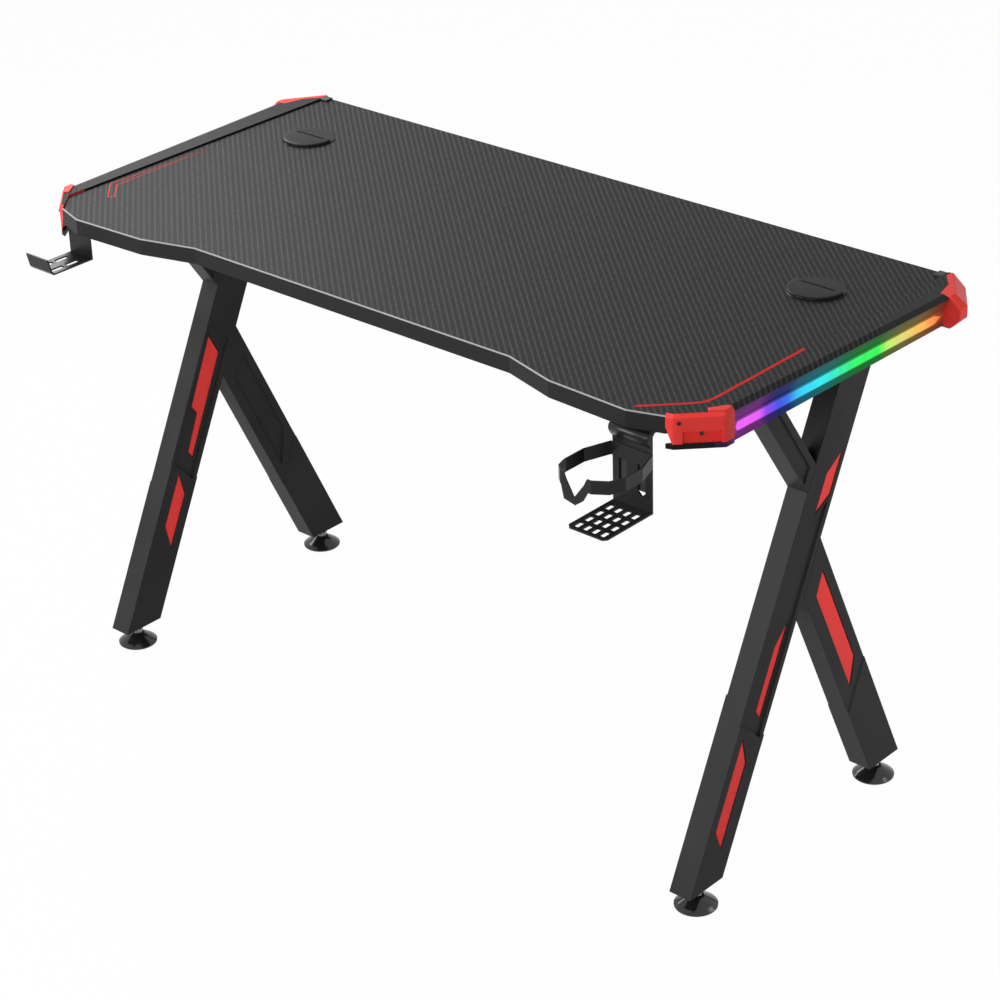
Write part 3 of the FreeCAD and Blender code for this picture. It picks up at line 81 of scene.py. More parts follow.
# How far up a face looks to count as a top or as the board's top chamfer, which gets a painted highlight,
# in shares of straight up.
BOARD_TOP_SHARE = 0.97
HIGHLIGHT_CHAMFER_SHARE = 0.35
RAIL_TOP_SHARE = 0.88

# The painted glow beside a light bar: where the channel's walls begin, and how far the glow runs on them.
CHANNEL_WALL = LIGHT_LOW.x - 0.6 * MM
GLOW_REACH = 18.0 * MM
GLOW_END = 10.0 * MM

# The bright core of a light bar: how far from the bar's ends its points begin and end, and its section.
CORE_FRONT = (6.0 * MM, 10.0 * MM)
CORE_REAR = (24.0 * MM, 3.0 * MM)
CORE_EDGE = 0.6 * MM
CORE_SHARE = 0.74
CORE_DROP_SHARE = 0.08
CORE_DIM_SHARE = 0.16

# Rounding and joining of edges, and the longest mitre of a plan path.
SHARP_EDGE = math.radians(28.0)
FLAT_EDGE = math.radians(0.4)
WELD_REACH = 0.005 * MM
MITRE_SHARE = 0.4

# How finely the curved shapes are divided.
LINE_STEPS = 8
LID_STEPS = 96
RIM_STEPS = 6
DOME_RINGS = 10
SCREW_STEPS = 24

# Numbers of the colour sockets on a mix node.
MIX_FIRST = 6
MIX_SECOND = 7
MIX_RESULT = 2

# Colours of the light bar from its front end to its rear end.
LIGHT_STOPS = (
    (0.00, (0.80, 0.100, 0.95)),
    (0.12, (0.78, 0.085, 0.95)),
    (0.15, (0.24, 0.040, 0.80)),
    (0.20, (0.035, 0.055, 0.74)),
    (0.25, (0.010, 0.12, 0.78)),
    (0.29, (0.007, 0.48, 0.84)),
    (0.36, (0.006, 0.66, 0.86)),
    (0.44, (0.005, 0.76, 0.66)),
    (0.50, (0.004, 0.80, 0.30)),
    (0.57, (0.004, 0.88, 0.10)),
    (0.68, (0.012, 0.86, 0.07)),
    (0.72, (0.40, 0.72, 0.10)),
    (0.79, (0.68, 0.64, 0.15)),
    (0.87, (0.92, 0.50, 0.085)),
    (0.94, (0.97, 0.26, 0.045)),
    (1.00, (0.94, 0.10, 0.030)),
)


def colour(name, description, value):
    """A colour setting."""
    return FloatVectorProperty(
        name=name, description=description, subtype="COLOR", size=3, min=0.0, max=1.0, default=value)


def length(name, description, value):
    """A length setting, given in millimetres."""
    return FloatProperty(name=name, description=description, unit="LENGTH", min=0.0, default=value * MM)


def power(name, description, value):
    """A lamp's power setting, in watts."""
    return FloatProperty(name=name, description=description, unit="POWER", min=0.0, default=value)


def strength(name, description, value):
    """A setting of a light's strength."""
    return FloatProperty(name=name, description=description, min=0.0, default=value)


class DeskColours(PropertyGroup):
    """Colours of the desk's finishes."""

    # The ridge colour is partly the weave itself and partly painted sheen of the glossy ridges.
    weave_ridges_and_sheen: colour("Weave ridges", "Light ridges of the woven-look top", (0.072, 0.073, 0.0712))
    weave_dark: colour("Weave ground", "Dark ground between the ridges", (0.0147, 0.0151, 0.0151))
    edge_band: colour("Edge band", "Black band round the board", (0.016, 0.016, 0.0165))
    # Painted highlight: this pale colour on the board's top chamfer stands in for the light the chamfer
    # catches.
    edge_highlight: colour("Edge arris", "Pale cut line along the board's top edge", (0.30, 0.30, 0.30))
    rail: colour("Rail", "Moulded black of the side rails", (0.012, 0.012, 0.0125))
    rail_top: colour("Rail top", "Smooth grey of the rails' upper face", (0.029, 0.029, 0.030))
    line: colour("Top lines", "Red lines printed on the board", (0.62, 0.020, 0.018))
    cap: colour("Corner caps", "Satin red of the corner caps", (0.86, 0.054, 0.046))
    inlay: colour("Leg inlays", "Matt red of the leg inlays", (0.90, 0.048, 0.042))
    # Partly the panels' own deeper red and partly painted shade of the recess.
    panel: colour("Cap panels", "Deeper red of the front caps' sunk panels", (0.62, 0.026, 0.022))
    steel: colour("Steel", "Black powder coat of the frames", (0.027, 0.027, 0.0275))
    gloss: colour("Gloss black", "Feet, lids and bent sheets", (0.008, 0.008, 0.0085))
    screw: colour("Screws", "Black oxide of the screws", (0.020, 0.020, 0.021))
    zinc: colour("Studs", "Zinc of the levelling studs", (0.36, 0.36, 0.37))


class DeskSizes(PropertyGroup):
    """Sizes of the desk's fine details."""

    ridge_pitch: length("Ridge pitch", "Distance between the weave's ridges", 7.9)
    knot_pitch: length("Knot pitch", "Distance between the knots along a ridge", 11.0)
    line_width: length("Line width", "Width of the printed red line", 5.0)
    outline_width: length("Outline width", "Width of the left stripe's outline", 1.8)
    line_rise: length("Line rise", "Thickness of the printed lines", 0.18)
    line_turn: length("Line turn", "Reach of the printed line's rounded corners", 22.0)
    cell_pitch: length("Cell pitch", "Distance between a circuit strip's light cells", 16.6)
    thread_pitch: length("Thread pitch", "Pitch of the levelling studs' thread", 1.25)
    arris: length("Steel arris", "Rounding of the steel tubes' edges", 1.6)
    cap_arris: length("Cap arris", "Rounding of the red caps' edges", 1.2)
    sheet_arris: length("Sheet arris", "Rounding of bent sheets' edges", 0.6)
    inlay_arris: length("Inlay arris", "Rounding of the inlays' edges", 0.7)
    lid_fall: length("Lid fall", "How far a lid's dome falls to its rim", 0.5)
    lid_round: length("Lid rounding", "Rounding of a lid's rim", 2.5)
    lid_groove: length("Lid groove", "Width of the groove across a lid", 2.4)
    lid_groove_length: length("Lid groove length", "Length of the groove across a lid", 58.0)
    lid_groove_depth: length("Lid groove depth", "Depth of the groove across a lid", 1.6)
    lid_groove_inset: length("Lid groove inset", "From a lid's straight edge to its groove", 4.0)
    lid_groove_wall: length("Lid groove wall", "Slope of the groove's walls in plan", 0.25)
    lid_chamfer: length("Lid chamfer", "Chamfer round a lid's foot", 0.4)
    lid_crown: length("Lid crown", "How far below its top a lid still counts as top", 1.0)
    brow_depth: length("Brow depth", "How far a front cap's bright brow leans back", 3.0)
    brow_height: length("Brow height", "Height of a front cap's bright brow", 5.0)
    chin_height: length("Chin height", "Where a front cap's lower end starts to lean in", 22.0)
    panel_depth: length("Panel depth", "Depth of the sunk panel in a front cap", 2.4)
    panel_height: length("Panel height", "Height of the sunk panel in a front cap", 16.0)
    panel_wall: length("Panel wall", "Slope of the sunk panel's walls in plan", 0.3)
    cap_screw: length("Cap screw", "Radius of the cap screws' heads", 2.6)
    sheet_rise: length("Sheet rise", "How far the woven sheet stands above a front cap", 0.25)
    tab_rise: length("Tab rise", "Height of the tab on a front cap", 2.2)
    tab_arris: length("Tab arris", "Rounding of the tab's edges", 0.7)
    clip_rise: length("Clip rise", "Height of the rear clip above the board", 3.4)
    clip_arris: length("Clip arris", "Rounding of the rear clip's edges", 1.2)


class DeskLight(PropertyGroup):
    """Light of the desk's own bars and of the studio."""

    bar_strength: strength("Bar strength", "Strength of the light bars", 1.0)
    glow_strength: strength("Glow strength", "Light in the channel walls beside the bars", 0.17)
    key_power: power("Key power", "Power of the soft key", 50.0)
    left_power: power("Left power", "Power of the front left lamp", 76.0)
    front_power: power("Front power", "Power of the front fill", 56.0)
    fill_power: power("Fill power", "Power of the right fill", 2.8)
    ambient: strength("Ambient", "Even light from all round", 0.18)
    floor: colour("Floor", "Pale studio floor", (0.66, 0.66, 0.66))


class DeskCamera(PropertyGroup):
    """The camera that matches the photograph."""

    place: FloatVectorProperty(
        name="Place", description="Where the camera stands", subtype="TRANSLATION", unit="LENGTH",
        default=(2.48606, -2.63505, 2.24331))
    turn: FloatVectorProperty(
        name="Turn", description="How the camera is turned", subtype="EULER",
        default=(1.090862, 0.029799, 0.726912))
    lens: FloatProperty(name="Lens", description="Focal length in millimetres", default=102.01)
    sensor: FloatProperty(name="Sensor", description="Sensor width in millimetres", default=36.0)


class DeskSettings(PropertyGroup):
    """All settings of the desk's dressing."""

    colours: PointerProperty(type=DeskColours, name="Colours", description="Finish colours")
    sizes: PointerProperty(type=DeskSizes, name="Sizes", description="Sizes of fine details")
    light: PointerProperty(type=DeskLight, name="Light", description="Bars and studio light")
    camera: PointerProperty(type=DeskCamera, name="Camera", description="The photograph's camera")


def settings():
    """The desk's settings in this scene."""
    return bpy.context.scene.gaming_desk


class Tree:
    """The shading nodes of a material or a world."""

    def __init__(self, owner):
        owner.use_nodes = True
        self.nodes = owner.node_tree.nodes
        self.links = owner.node_tree.links

    def add(self, kind, inputs=None, **choices):
        """A new node with its choices and inputs."""
        node = self.nodes.new(kind)
        for key, value in choices.items():
            setattr(node, key, value)
        self.feed(node, inputs or {})
        return node

    def feed(self, node, inputs):
        """Link or set the named or numbered inputs of a node."""
        for key, value in inputs.items():
            socket = node.inputs[key]
            if isinstance(value, bpy.types.NodeSocket):
                self.links.new(value, socket)
            elif isinstance(value, (tuple, list)) and len(value) == 3 and len(socket.default_value) == 4:
                socket.default_value = (*value, 1.0)
            else:
                socket.default_value = value

    def sum(self, operation, first, second=0.0, clamp=False):
        """The result of one arithmetic node."""
        node = self.add("ShaderNodeMath", {0: first, 1: second}, operation=operation, use_clamp=clamp)
        return node.outputs[0]

    def times(self, value, *factors):
        """A value times one or more factors."""
        for factor in factors:
            value = self.sum("MULTIPLY", value, factor)
        return value

    def wave(self, value, turns=1.0):
        """A cosine that runs through so many turns for each unit of a value."""
        return self.sum("COSINE", self.times(value, 2.0 * math.pi * turns))


class Finish(Tree):
    """One procedural finish: its shader and the nodes that feed it."""

    def __init__(self, name, sockets):
        self.material = bpy.data.materials.new(name)
        super().__init__(self.material)
        self.shader = self.nodes["Principled BSDF"]
        self.feed(self.shader, sockets)
        self.place = self.add("ShaderNodeTexCoord").outputs["Object"]

    def span(self, value, low, high, first=0.0, second=1.0, kind="SMOOTHSTEP"):
        """A value mapped from one range to another, smoothly or straight, and held at its ends."""
        inputs = {"Value": value, "From Min": low, "From Max": high, "To Min": first, "To Max": second}
        return self.add("ShaderNodeMapRange", inputs, interpolation_type=kind).outputs["Result"]

    def axes(self):
        """The three frame coordinates of the shaded point."""
        return self.add("ShaderNodeSeparateXYZ", {0: self.place}).outputs

    def facing(self):
        """The upward part of the surface's normal."""
        normal = self.add("ShaderNodeNewGeometry").outputs["True Normal"]
        return self.add("ShaderNodeSeparateXYZ", {0: normal}).outputs["Z"]

    def noise(self, scale, detail=2.0):
        """Noise at so many cells per metre."""
        node = self.add("ShaderNodeTexNoise", {"Vector": self.place, "Scale": scale, "Detail": detail})
        return node.outputs["Fac"]

    def mix(self, share, first, second):
        """One colour turning into another."""
        inputs = {"Factor": share, MIX_FIRST: first, MIX_SECOND: second}
        return self.add("ShaderNodeMix", inputs, data_type="RGBA").outputs[MIX_RESULT]

    def ramp(self, value, stops):
        """A colour ramp along a value from 0 to 1."""
        node = self.add("ShaderNodeValToRGB", {"Fac": value})
        points = node.color_ramp.elements
        points[0].position, points[0].color = stops[0][0], (*stops[0][1], 1.0)
        points[1].position, points[1].color = stops[-1][0], (*stops[-1][1], 1.0)
        for position, shade in stops[1:-1]:
            point = points.new(position)
            point.color = (*shade, 1.0)
        return node.outputs["Color"]

    def bump(self, height, strength, depth):
        """Feed a height into the shader's normal."""
        node = self.add("ShaderNodeBump", {"Height": height, "Strength": strength, "Distance": depth})
        self.feed(self.shader, {"Normal": node.outputs["Normal"]})

    def tone(self, base, low, high, factor):
        """A colour made darker and lighter by a factor from 0 to 1."""
        dark = tuple(channel * low for channel in base)
        light = tuple(channel * high for channel in base)
        return self.mix(factor, dark, light)


# The moulded and coated finishes: material, colour setting, roughness, gloss,
# grain cells per metre, depth of the grain in millimetres and spread of the tone.
MOULDINGS = {
    "inlay": ("matt red inlay", "inlay", 0.55, 0.15, 900.0, 0.06, 0.10),
    # The panel finish carries painted shade of the recess as well as the panels' own red.
    "panel": ("deep red panel", "panel", 0.45, 0.08, 900.0, 0.06, 0.10),
    "steel": ("black powder coat", "steel", 0.36, 0.04, 1500.0, 0.08, 0.35),
    "sheet": ("gloss black sheet", "gloss", 0.30, 0.20, 900.0, 0.02, 0.35),
    "gloss": ("gloss black plastic", "gloss", 0.16, 0.50, 900.0, 0.02, 0.35),
    "lid": ("satin black lid", "gloss", 0.20, 0.07, 900.0, 0.03, 0.35),
    "plastic": ("matt black plastic", "rail", 0.48, 0.35, 900.0, 0.06, 0.35),
    "rubber": ("soft rubber", "screw", 0.75, 0.20, 500.0, 0.06, 0.35),
    "screw": ("black oxide", "screw", 0.36, 0.20, 600.0, 0.06, 0.35),
}


def moulded(name):
    """Moulded or coated surface with fine grain, uneven tone and uneven gloss."""
    title, tint, roughness, gloss, cells, depth, spread = MOULDINGS[name]
    base = getattr(settings().colours, tint)
    finish = Finish(title, {"Specular IOR Level": gloss})
    grain = finish.noise(cells, 3.0)
    cloud = finish.noise(9.0, 3.0)
    finish.feed(finish.shader, {
        "Base Color": finish.tone(base, 1.0 - spread, 1.0 + spread, cloud),
        "Roughness": finish.span(cloud, 0.25, 0.75, roughness * 0.88, roughness * 1.12)})
    finish.bump(grain, 0.5, depth * MM)
    return finish


def weave(finish, tints, sizes, x, y):
    """Colour and height of the woven-look sheet at a place on the top; its light ridges are the weave's
    relief with painted sheen in their colour.
    """
    lean, reach = math.sin(WEAVE_ANGLE), math.cos(WEAVE_ANGLE)
    across = finish.sum("ADD", finish.times(x, lean / sizes.ridge_pitch),
                        finish.times(y, reach / sizes.ridge_pitch))
    along = finish.sum("SUBTRACT", finish.times(x, reach / sizes.knot_pitch),
                       finish.times(y, lean / sizes.knot_pitch))
    ridge = finish.wave(across)
    knot = finish.wave(along)
    thread = finish.wave(along, THREADS_PER_KNOT)
    ridge_part = finish.span(ridge, 0.05, 0.95)
    knot_part = finish.span(knot, -1.0, 1.0, 0.84, 1.0)
    dots = finish.span(thread, -1.0, 1.0, 0.48, 1.0)
    ground = finish.span(thread, -1.0, 1.0, 0.0, 0.13)
    streak = finish.span(finish.noise(140.0, 3.0), 0.3, 0.7, 0.50, 1.14)
    height = finish.times(ridge_part, knot_part, streak)
    # The ridges lean towards the ridge colour, which carries painted sheen.
    share = finish.sum("ADD", finish.times(height, dots), ground, clamp=True)
    return finish.mix(share, tuple(tints.weave_dark), tuple(tints.weave_ridges_and_sheen)), height


def board_finish():
    """Woven-look top, painted highlight on the top chamfer, black edge band and plain underside."""
    tints = settings().colours
    sizes = settings().sizes
    finish = Finish("woven laminate", {"Specular IOR Level": 0.05})
    x, y = finish.axes()[:2]
    top_colour, height = weave(finish, tints, sizes, x, y)
    facing = finish.facing()
    is_top = finish.sum("GREATER_THAN", facing, BOARD_TOP_SHARE)
    on_highlight_chamfer = finish.sum("GREATER_THAN", facing, HIGHLIGHT_CHAMFER_SHARE)
    grain = finish.noise(1400.0, 2.0)
    band = finish.tone(tuple(tints.edge_band), 0.7, 1.3, grain)
    # Painted highlight: the board's top chamfer takes the pale highlight colour.
    rim = finish.mix(on_highlight_chamfer, band, tuple(tints.edge_highlight))
    finish.feed(finish.shader, {
        "Base Color": finish.mix(is_top, rim, top_colour),
        "Roughness": finish.span(is_top, 0.0, 1.0, 0.34, 0.52)})
    relief = finish.times(finish.sum("ADD", height, finish.times(grain, 0.2)), is_top)
    finish.bump(relief, 0.35, 0.4 * MM)
    return finish


def bar_colour(finish, y):
    """The colour of a light bar at a place along it."""
    return finish.ramp(finish.span(y, LIGHT_LOW.y, LIGHT_HIGH.y, kind="LINEAR"), LIGHT_STOPS)


def rail_finish(side):
    """Grained black rail with painted glow of the bars' light on its channel walls, and the woven sheet on
    the right one.
    """
    tints = settings().colours
    sizes = settings().sizes
    finish = Finish("rail moulding " + side, {"Specular IOR Level": 0.04})
    x, y, z = finish.axes()
    out = finish.sum("ABSOLUTE", x)
    facing = finish.facing()
    is_top = finish.sum("GREATER_THAN", facing, RAIL_TOP_SHARE)
    grain = finish.noise(700.0, 3.0)
    upper = finish.tone(tuple(tints.rail_top), 0.55, 1.5, grain)
    plain = finish.mix(is_top, finish.tone(tuple(tints.rail), 0.5, 1.1, grain), upper)
    height = grain
    if side == "right":
        sheet_colour, sheet_height = weave(finish, tints, sizes, x, y)
        edge = finish.span(y, *SHEET_DEPTHS, *SHEET_BREADTHS)
        on_sheet = finish.times(is_top, finish.sum("LESS_THAN", out, edge))
        plain = finish.mix(on_sheet, plain, sheet_colour)
        height = finish.sum("ADD", finish.times(sheet_height, on_sheet), finish.times(grain, 0.2))
    # Painted glow: the channel walls near a bar emit its colours, standing in for the bar's light falling
    # on them.
    off = finish.sum("ABSOLUTE", finish.sum("SUBTRACT", z, LIGHT_MIDDLE))
    away = finish.sum("SUBTRACT", off, LIGHT_HALF)
    fall = finish.span(away, 0.0, GLOW_REACH, 1.0, 0.6)
    ends = finish.span(y, LIGHT_LOW.y - GLOW_END, LIGHT_LOW.y, 0.2, 1.0)
    outer = finish.sum("GREATER_THAN", out, CHANNEL_WALL)
    walls = finish.sum("LESS_THAN", finish.sum("ABSOLUTE", facing), RAIL_TOP_SHARE)
    lit = finish.times(outer, walls, fall, ends, settings().light.glow_strength)
    finish.feed(finish.shader, {
        "Base Color": plain,
        "Roughness": finish.span(grain, 0.3, 0.7, 0.40, 0.52),
        "Emission Color": bar_colour(finish, y),
        "Emission Strength": lit})
    finish.bump(height, 0.16, 0.2 * MM)
    return finish


def light_finish():
    """Milky diffuser lit in a run of colours, brightest along its middle."""
    finish = Finish("lit diffuser", {"Roughness": 0.35, "Specular IOR Level": 0.06})
    y, z = finish.axes()[1:]
    heart = LIGHT_MIDDLE - CORE_DROP_SHARE * LIGHT_HALF
    off = finish.sum("ABSOLUTE", finish.sum("SUBTRACT", z, heart))
    front = finish.span(y, LIGHT_LOW.y + CORE_FRONT[0], LIGHT_LOW.y + CORE_FRONT[1])
    rear = finish.span(y, LIGHT_HIGH.y - CORE_REAR[0], LIGHT_HIGH.y - CORE_REAR[1], 1.0, 0.0)
    reach = finish.times(front, rear, CORE_SHARE * LIGHT_HALF)
    past = finish.sum("SUBTRACT", off, reach)
    core = finish.span(past, -CORE_EDGE, CORE_EDGE, 1.0, CORE_DIM_SHARE)
    cells = finish.noise(55.0, 1.0)
    shade = bar_colour(finish, y)
    patchy = finish.span(cells, 0.3, 0.7, 0.92, 1.08)
    finish.feed(finish.shader, {
        "Base Color": finish.mix(0.88, shade, (0.02, 0.02, 0.02)),
        "Emission Color": shade,
        "Emission Strength": finish.times(core, patchy, settings().light.bar_strength)})
    return finish


def strip_finish():
    """White circuit strip with a row of light cells."""
    finish = Finish("circuit strip", {"Roughness": 0.5})
    pulse = finish.wave(finish.axes()["Y"], 1.0 / settings().sizes.cell_pitch)
    cell = finish.sum("GREATER_THAN", pulse, 0.7)
    cloud = finish.noise(40.0)
    board = finish.tone((0.72, 0.72, 0.69), 0.85, 1.1, cloud)
    finish.feed(finish.shader, {"Base Color": finish.mix(cell, board, (0.85, 0.72, 0.28))})
    finish.bump(cell, 0.4, 0.4 * MM)
    return finish


def threaded_finish():
    """Zinc plated stud with its thread."""
    finish = Finish("zinc thread", {"Metallic": 1.0, "Specular IOR Level": 0.5})
    pulse = finish.wave(finish.axes()["Z"], 1.0 / settings().sizes.thread_pitch)
    cloud = finish.noise(160.0)
    finish.feed(finish.shader, {
        "Base Color": finish.tone(tuple(settings().colours.zinc), 0.75, 1.15, cloud),
        "Roughness": finish.span(cloud, 0.3, 0.7, 0.26, 0.42)})
    finish.bump(pulse, 0.6, 0.4 * MM)
    return finish


def cap_finish():
    """Satin red moulding with fine grain and painted light: paler where it slopes up towards the light,
    darker on upright faces.
    """
    base = tuple(settings().colours.cap)
    finish = Finish("satin red cap", {"Specular IOR Level": 0.09})
    grain = finish.noise(900.0, 3.0)
    cloud = finish.noise(9.0, 3.0)
    # Painted light and shade: upright faces get a darker copy of the red, sloping faces a paler one.
    upright = finish.tone(base, 0.66, 0.80, cloud)
    sloping = finish.tone(base, 0.94, 1.06, cloud)
    finish.feed(finish.shader, {
        "Base Color": finish.mix(finish.span(finish.facing(), 0.15, 0.6), upright, sloping),
        "Roughness": finish.span(cloud, 0.25, 0.75, 0.32, 0.42)})
    finish.bump(grain, 0.5, 0.06 * MM)
    return finish


def line_finish():
    """Printed red line that lets a little of the weave show."""
    finish = Finish("printed red", {"Specular IOR Level": 0.06})
    speck = finish.noise(420.0, 2.0)
    finish.feed(finish.shader, {
        "Base Color": finish.tone(tuple(settings().colours.line), 0.72, 1.25, speck),
        "Roughness": finish.span(speck, 0.3, 0.7, 0.42, 0.6)})
    finish.bump(speck, 0.3, 0.1 * MM)
    return finish


# The other finishes and their makers, and the finishes made so far.
FINISH_MAKERS = {
    "board": board_finish,
    "rail_left": lambda: rail_finish("left"),
    "rail_right": lambda: rail_finish("right"),
    "light": light_finish,
    "strip": strip_finish,
    "thread": threaded_finish,
    "line": line_finish,
    "cap": cap_finish,
}
FINISHES = {}


def finish_named(name):
    """A shared finish, made the first time it is asked for."""
    if name not in FINISHES:
        FINISHES[name] = moulded(name) if name in MOULDINGS else FINISH_MAKERS[name]()
    return FINISHES[name]


def wear(node, finish):
    """Give a CAD node a shared finish."""
    mesh = NODES[node].data
    mesh.materials.clear()
    mesh.materials.append(finish_named(finish).material)


def soften(node, width, segments=2):
    """Round the edges of a flat-sided CAD node."""
    piece = NODES[node]
    weld = piece.modifiers.new("Join corners", "WELD")
    weld.merge_threshold = WELD_REACH
    clean = piece.modifiers.new("Join flat faces", "DECIMATE")
    clean.decimate_type = "DISSOLVE"
    clean.angle_limit = FLAT_EDGE
    round_edges(piece, width, segments)


def round_edges(piece, width, segments):
    """Add a small rounding to all sharp edges of a piece."""
    bevel = piece.modifiers.new("Rounded arrises", "BEVEL")
    bevel.width = width
    bevel.segments = segments
    bevel.limit_method = "ANGLE"
    bevel.angle_limit = SHARP_EDGE
    bevel.use_clamp_overlap = True


def make_object(name, shape, material):
    """Put a bmesh into the scene as an object."""
    mesh = bpy.data.meshes.new(name)
    shape.to_mesh(mesh)
    shape.free()
    mesh.materials.append(material)
    made = bpy.data.objects.new(name, mesh)
    bpy.context.scene.collection.objects.link(made)
    return made


def add_piece(name, shape, finish, body=DESK, smooth=None):
    """Make a piece from a bmesh, with its finish and body."""
    bmesh.ops.recalc_face_normals(shape, faces=shape.faces)
    piece = make_object(name, shape, finish_named(finish).material)
    if smooth is not None:
        piece.data.shade_smooth()
        piece.data.set_sharp_from_angle(angle=math.radians(smooth))
    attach(piece, body)
    return piece


def loft(shape, rings, closed=False):
    """Join rings of places into a shape, with flat ends unless it closes on itself."""
    rings = [[shape.verts.new(spot) for spot in ring] for ring in rings]
    if closed:
        rings.append(rings[0])
    else:
        shape.faces.new(rings[0][::-1])
        shape.faces.new(rings[-1])
    for first, second in zip(rings, rings[1:]):
        for at, corner in enumerate(first):
            after = (at + 1) % len(first)
            shape.faces.new((corner, first[after], second[after], second[at]))


def add_block(name, outline, low, high, finish):
    """Make a closed upright block over an outline of plan points."""
    shape = bmesh.new()
    loft(shape, [[(x, y, level) for x, y in outline] for level in (low, high)])
    return add_piece(name, shape, finish)


def curved(points, radius, steps):
    """An open plan path whose inner corners are turned on a smooth curve."""
    path = [points[0]]
    for before, corner, after in zip(points, points[1:], points[2:]):
        reach_in = min(radius, (before - corner).length / 2.0)
        reach_out = min(radius, (after - corner).length / 2.0)
        start = corner + (before - corner).normalized() * reach_in
        end = corner + (after - corner).normalized() * reach_out
        for step in range(steps + 1):
            share = step / steps
            path.append(start.lerp(corner, share).lerp(corner.lerp(end, share), share))
    path.append(points[-1])
    return path


def mitre(before, point, after):
    """The step to the left, one unit off both runs, where two runs of a plan path meet."""
    way_in = (point - before).normalized() if before is not None else None
    way_out = (after - point).normalized() if after is not None else None
    way_in = way_in or way_out
    way_out = way_out or way_in
    normal_in = Vector((-way_in.y, way_in.x))
    normal_out = Vector((-way_out.y, way_out.x))
    normal = (normal_in + normal_out).normalized()
    return normal / max(normal.dot(normal_in), MITRE_SHARE)


def inset_chain(points, reach):
    """An open plan chain moved to its left by a reach, with mitred corners."""
    befores = [None, *points[:-1]]
    afters = [*points[1:], None]
    return [point + mitre(before, point, after) * reach
            for before, point, after in zip(befores, points, afters)]


def ribbon(shape, path, width, low, high, closed=False):
    """Add a thin raised strip of constant width along a plan path."""
    count = len(path)
    rings = []
    for at, point in enumerate(path):
        before = path[at - 1] if at or closed else None
        after = path[(at + 1) % count] if at < count - 1 or closed else None
        step = mitre(before, point, after) * width / 2.0
        left, right = point + step, point - step
        corners = ((left, low), (left, high), (right, high), (right, low))
        rings.append([(spot.x, spot.y, level) for spot, level in corners])
    loft(shape, rings, closed)


def lathe(shape, profile, steps, place):
    """Add a turned shape from (radius, height) points; the first and last close on the axis."""
    rings = []
    for radius, height in profile:
        if radius <= 0.0:
            rings.append([shape.verts.new(place @ Vector((0.0, 0.0, height)))])
            continue
        ring = []
        for step in range(steps):
            angle = 2.0 * math.pi * step / steps
            spot = Vector((radius * math.cos(angle), radius * math.sin(angle), height))
            ring.append(shape.verts.new(place @ spot))
        rings.append(ring)
    for lower, upper in zip(rings, rings[1:]):
        for step in range(steps):
            after = (step + 1) % steps
            corners = [lower[step % len(lower)], lower[after % len(lower)],
                       upper[after % len(upper)], upper[step % len(upper)]]
            shape.faces.new(list(dict.fromkeys(corners)))


def slice_at(shape, spot, normal, **choices):
    """Cut a whole mesh along a plane."""
    geometry = shape.verts[:] + shape.edges[:] + shape.faces[:]
    return bmesh.ops.bisect_plane(shape, geom=geometry, plane_co=spot, plane_no=normal, **choices)


def facing_place(spot, normal):
    """A placement at a spot whose Z axis is the normal."""
    return Matrix.Translation(spot) @ normal.to_track_quat("Z", "Y").to_matrix().to_4x4()


class DESK_OT_board(Operator):
    """Dress the board in its woven-look sheet and black edge band"""

    bl_idname = "gaming_desk.board"
    bl_label = "Board"

    def execute(self, context):
        wear("desktop_board", "board")
        return {"FINISHED"}


# Corners of the lines on the board: in from its side and back from its front, in millimetres.
RIGHT_LINE = ((72.1, 14.6), (15.5, 70.2), (9.3, 88.0), (9.3, 276.5))
LEFT_STRIPE = ((19.0, 310.0), (8.0, 124.0), (46.0, 86.0), (53.0, 93.0), (20.0, 126.0))


def board_spot(side, inset, back):
    """A plan place on the board, measured from one side and the front."""
    return Vector((SIDES[side] * (BOARD_HIGH.x - inset * MM), BOARD_LOW.y + back * MM))


class DESK_OT_board_lines(Operator):
    """Lay the red lines on the board's front corners"""

    bl_idname = "gaming_desk.board_lines"
    bl_label = "Board lines"

    def execute(self, context):
        sizes = settings().sizes
        line = curved([board_spot("right", *spot) for spot in RIGHT_LINE], sizes.line_turn, LINE_STEPS)
        self.add_line("red_line_right", line, sizes.line_width)
        stripe = [board_spot("left", *spot) for spot in LEFT_STRIPE]
        self.add_line("red_stripe_left", stripe, sizes.outline_width, closed=True)
        return {"FINISHED"}

    def add_line(self, name, path, width, closed=False):
        """A printed line, half let into the board."""
        rise = settings().sizes.line_rise
        shape = bmesh.new()
        ribbon(shape, path, width, BOARD_TOP - rise, BOARD_TOP + rise, closed)
        add_piece(name, shape, "line")


def lid_profile(radius, low, high, sizes):
    """Section of a lid: flat below, rounded at its rim and gently domed."""
    rounding = sizes.lid_round
    inner = radius - rounding
    shoulder = high - sizes.lid_fall - rounding
    profile = [(0.0, low), (radius - sizes.lid_chamfer, low), (radius, low + sizes.lid_chamfer)]
    for step in range(RIM_STEPS + 1):
        angle = math.radians(90.0) * step / RIM_STEPS
        profile.append((inner + rounding * math.cos(angle), shoulder + rounding * math.sin(angle)))
    for ring in reversed(range(DOME_RINGS)):
        share = ring / DOME_RINGS
        profile.append((inner * share, high - sizes.lid_fall * share ** 2))
    return profile


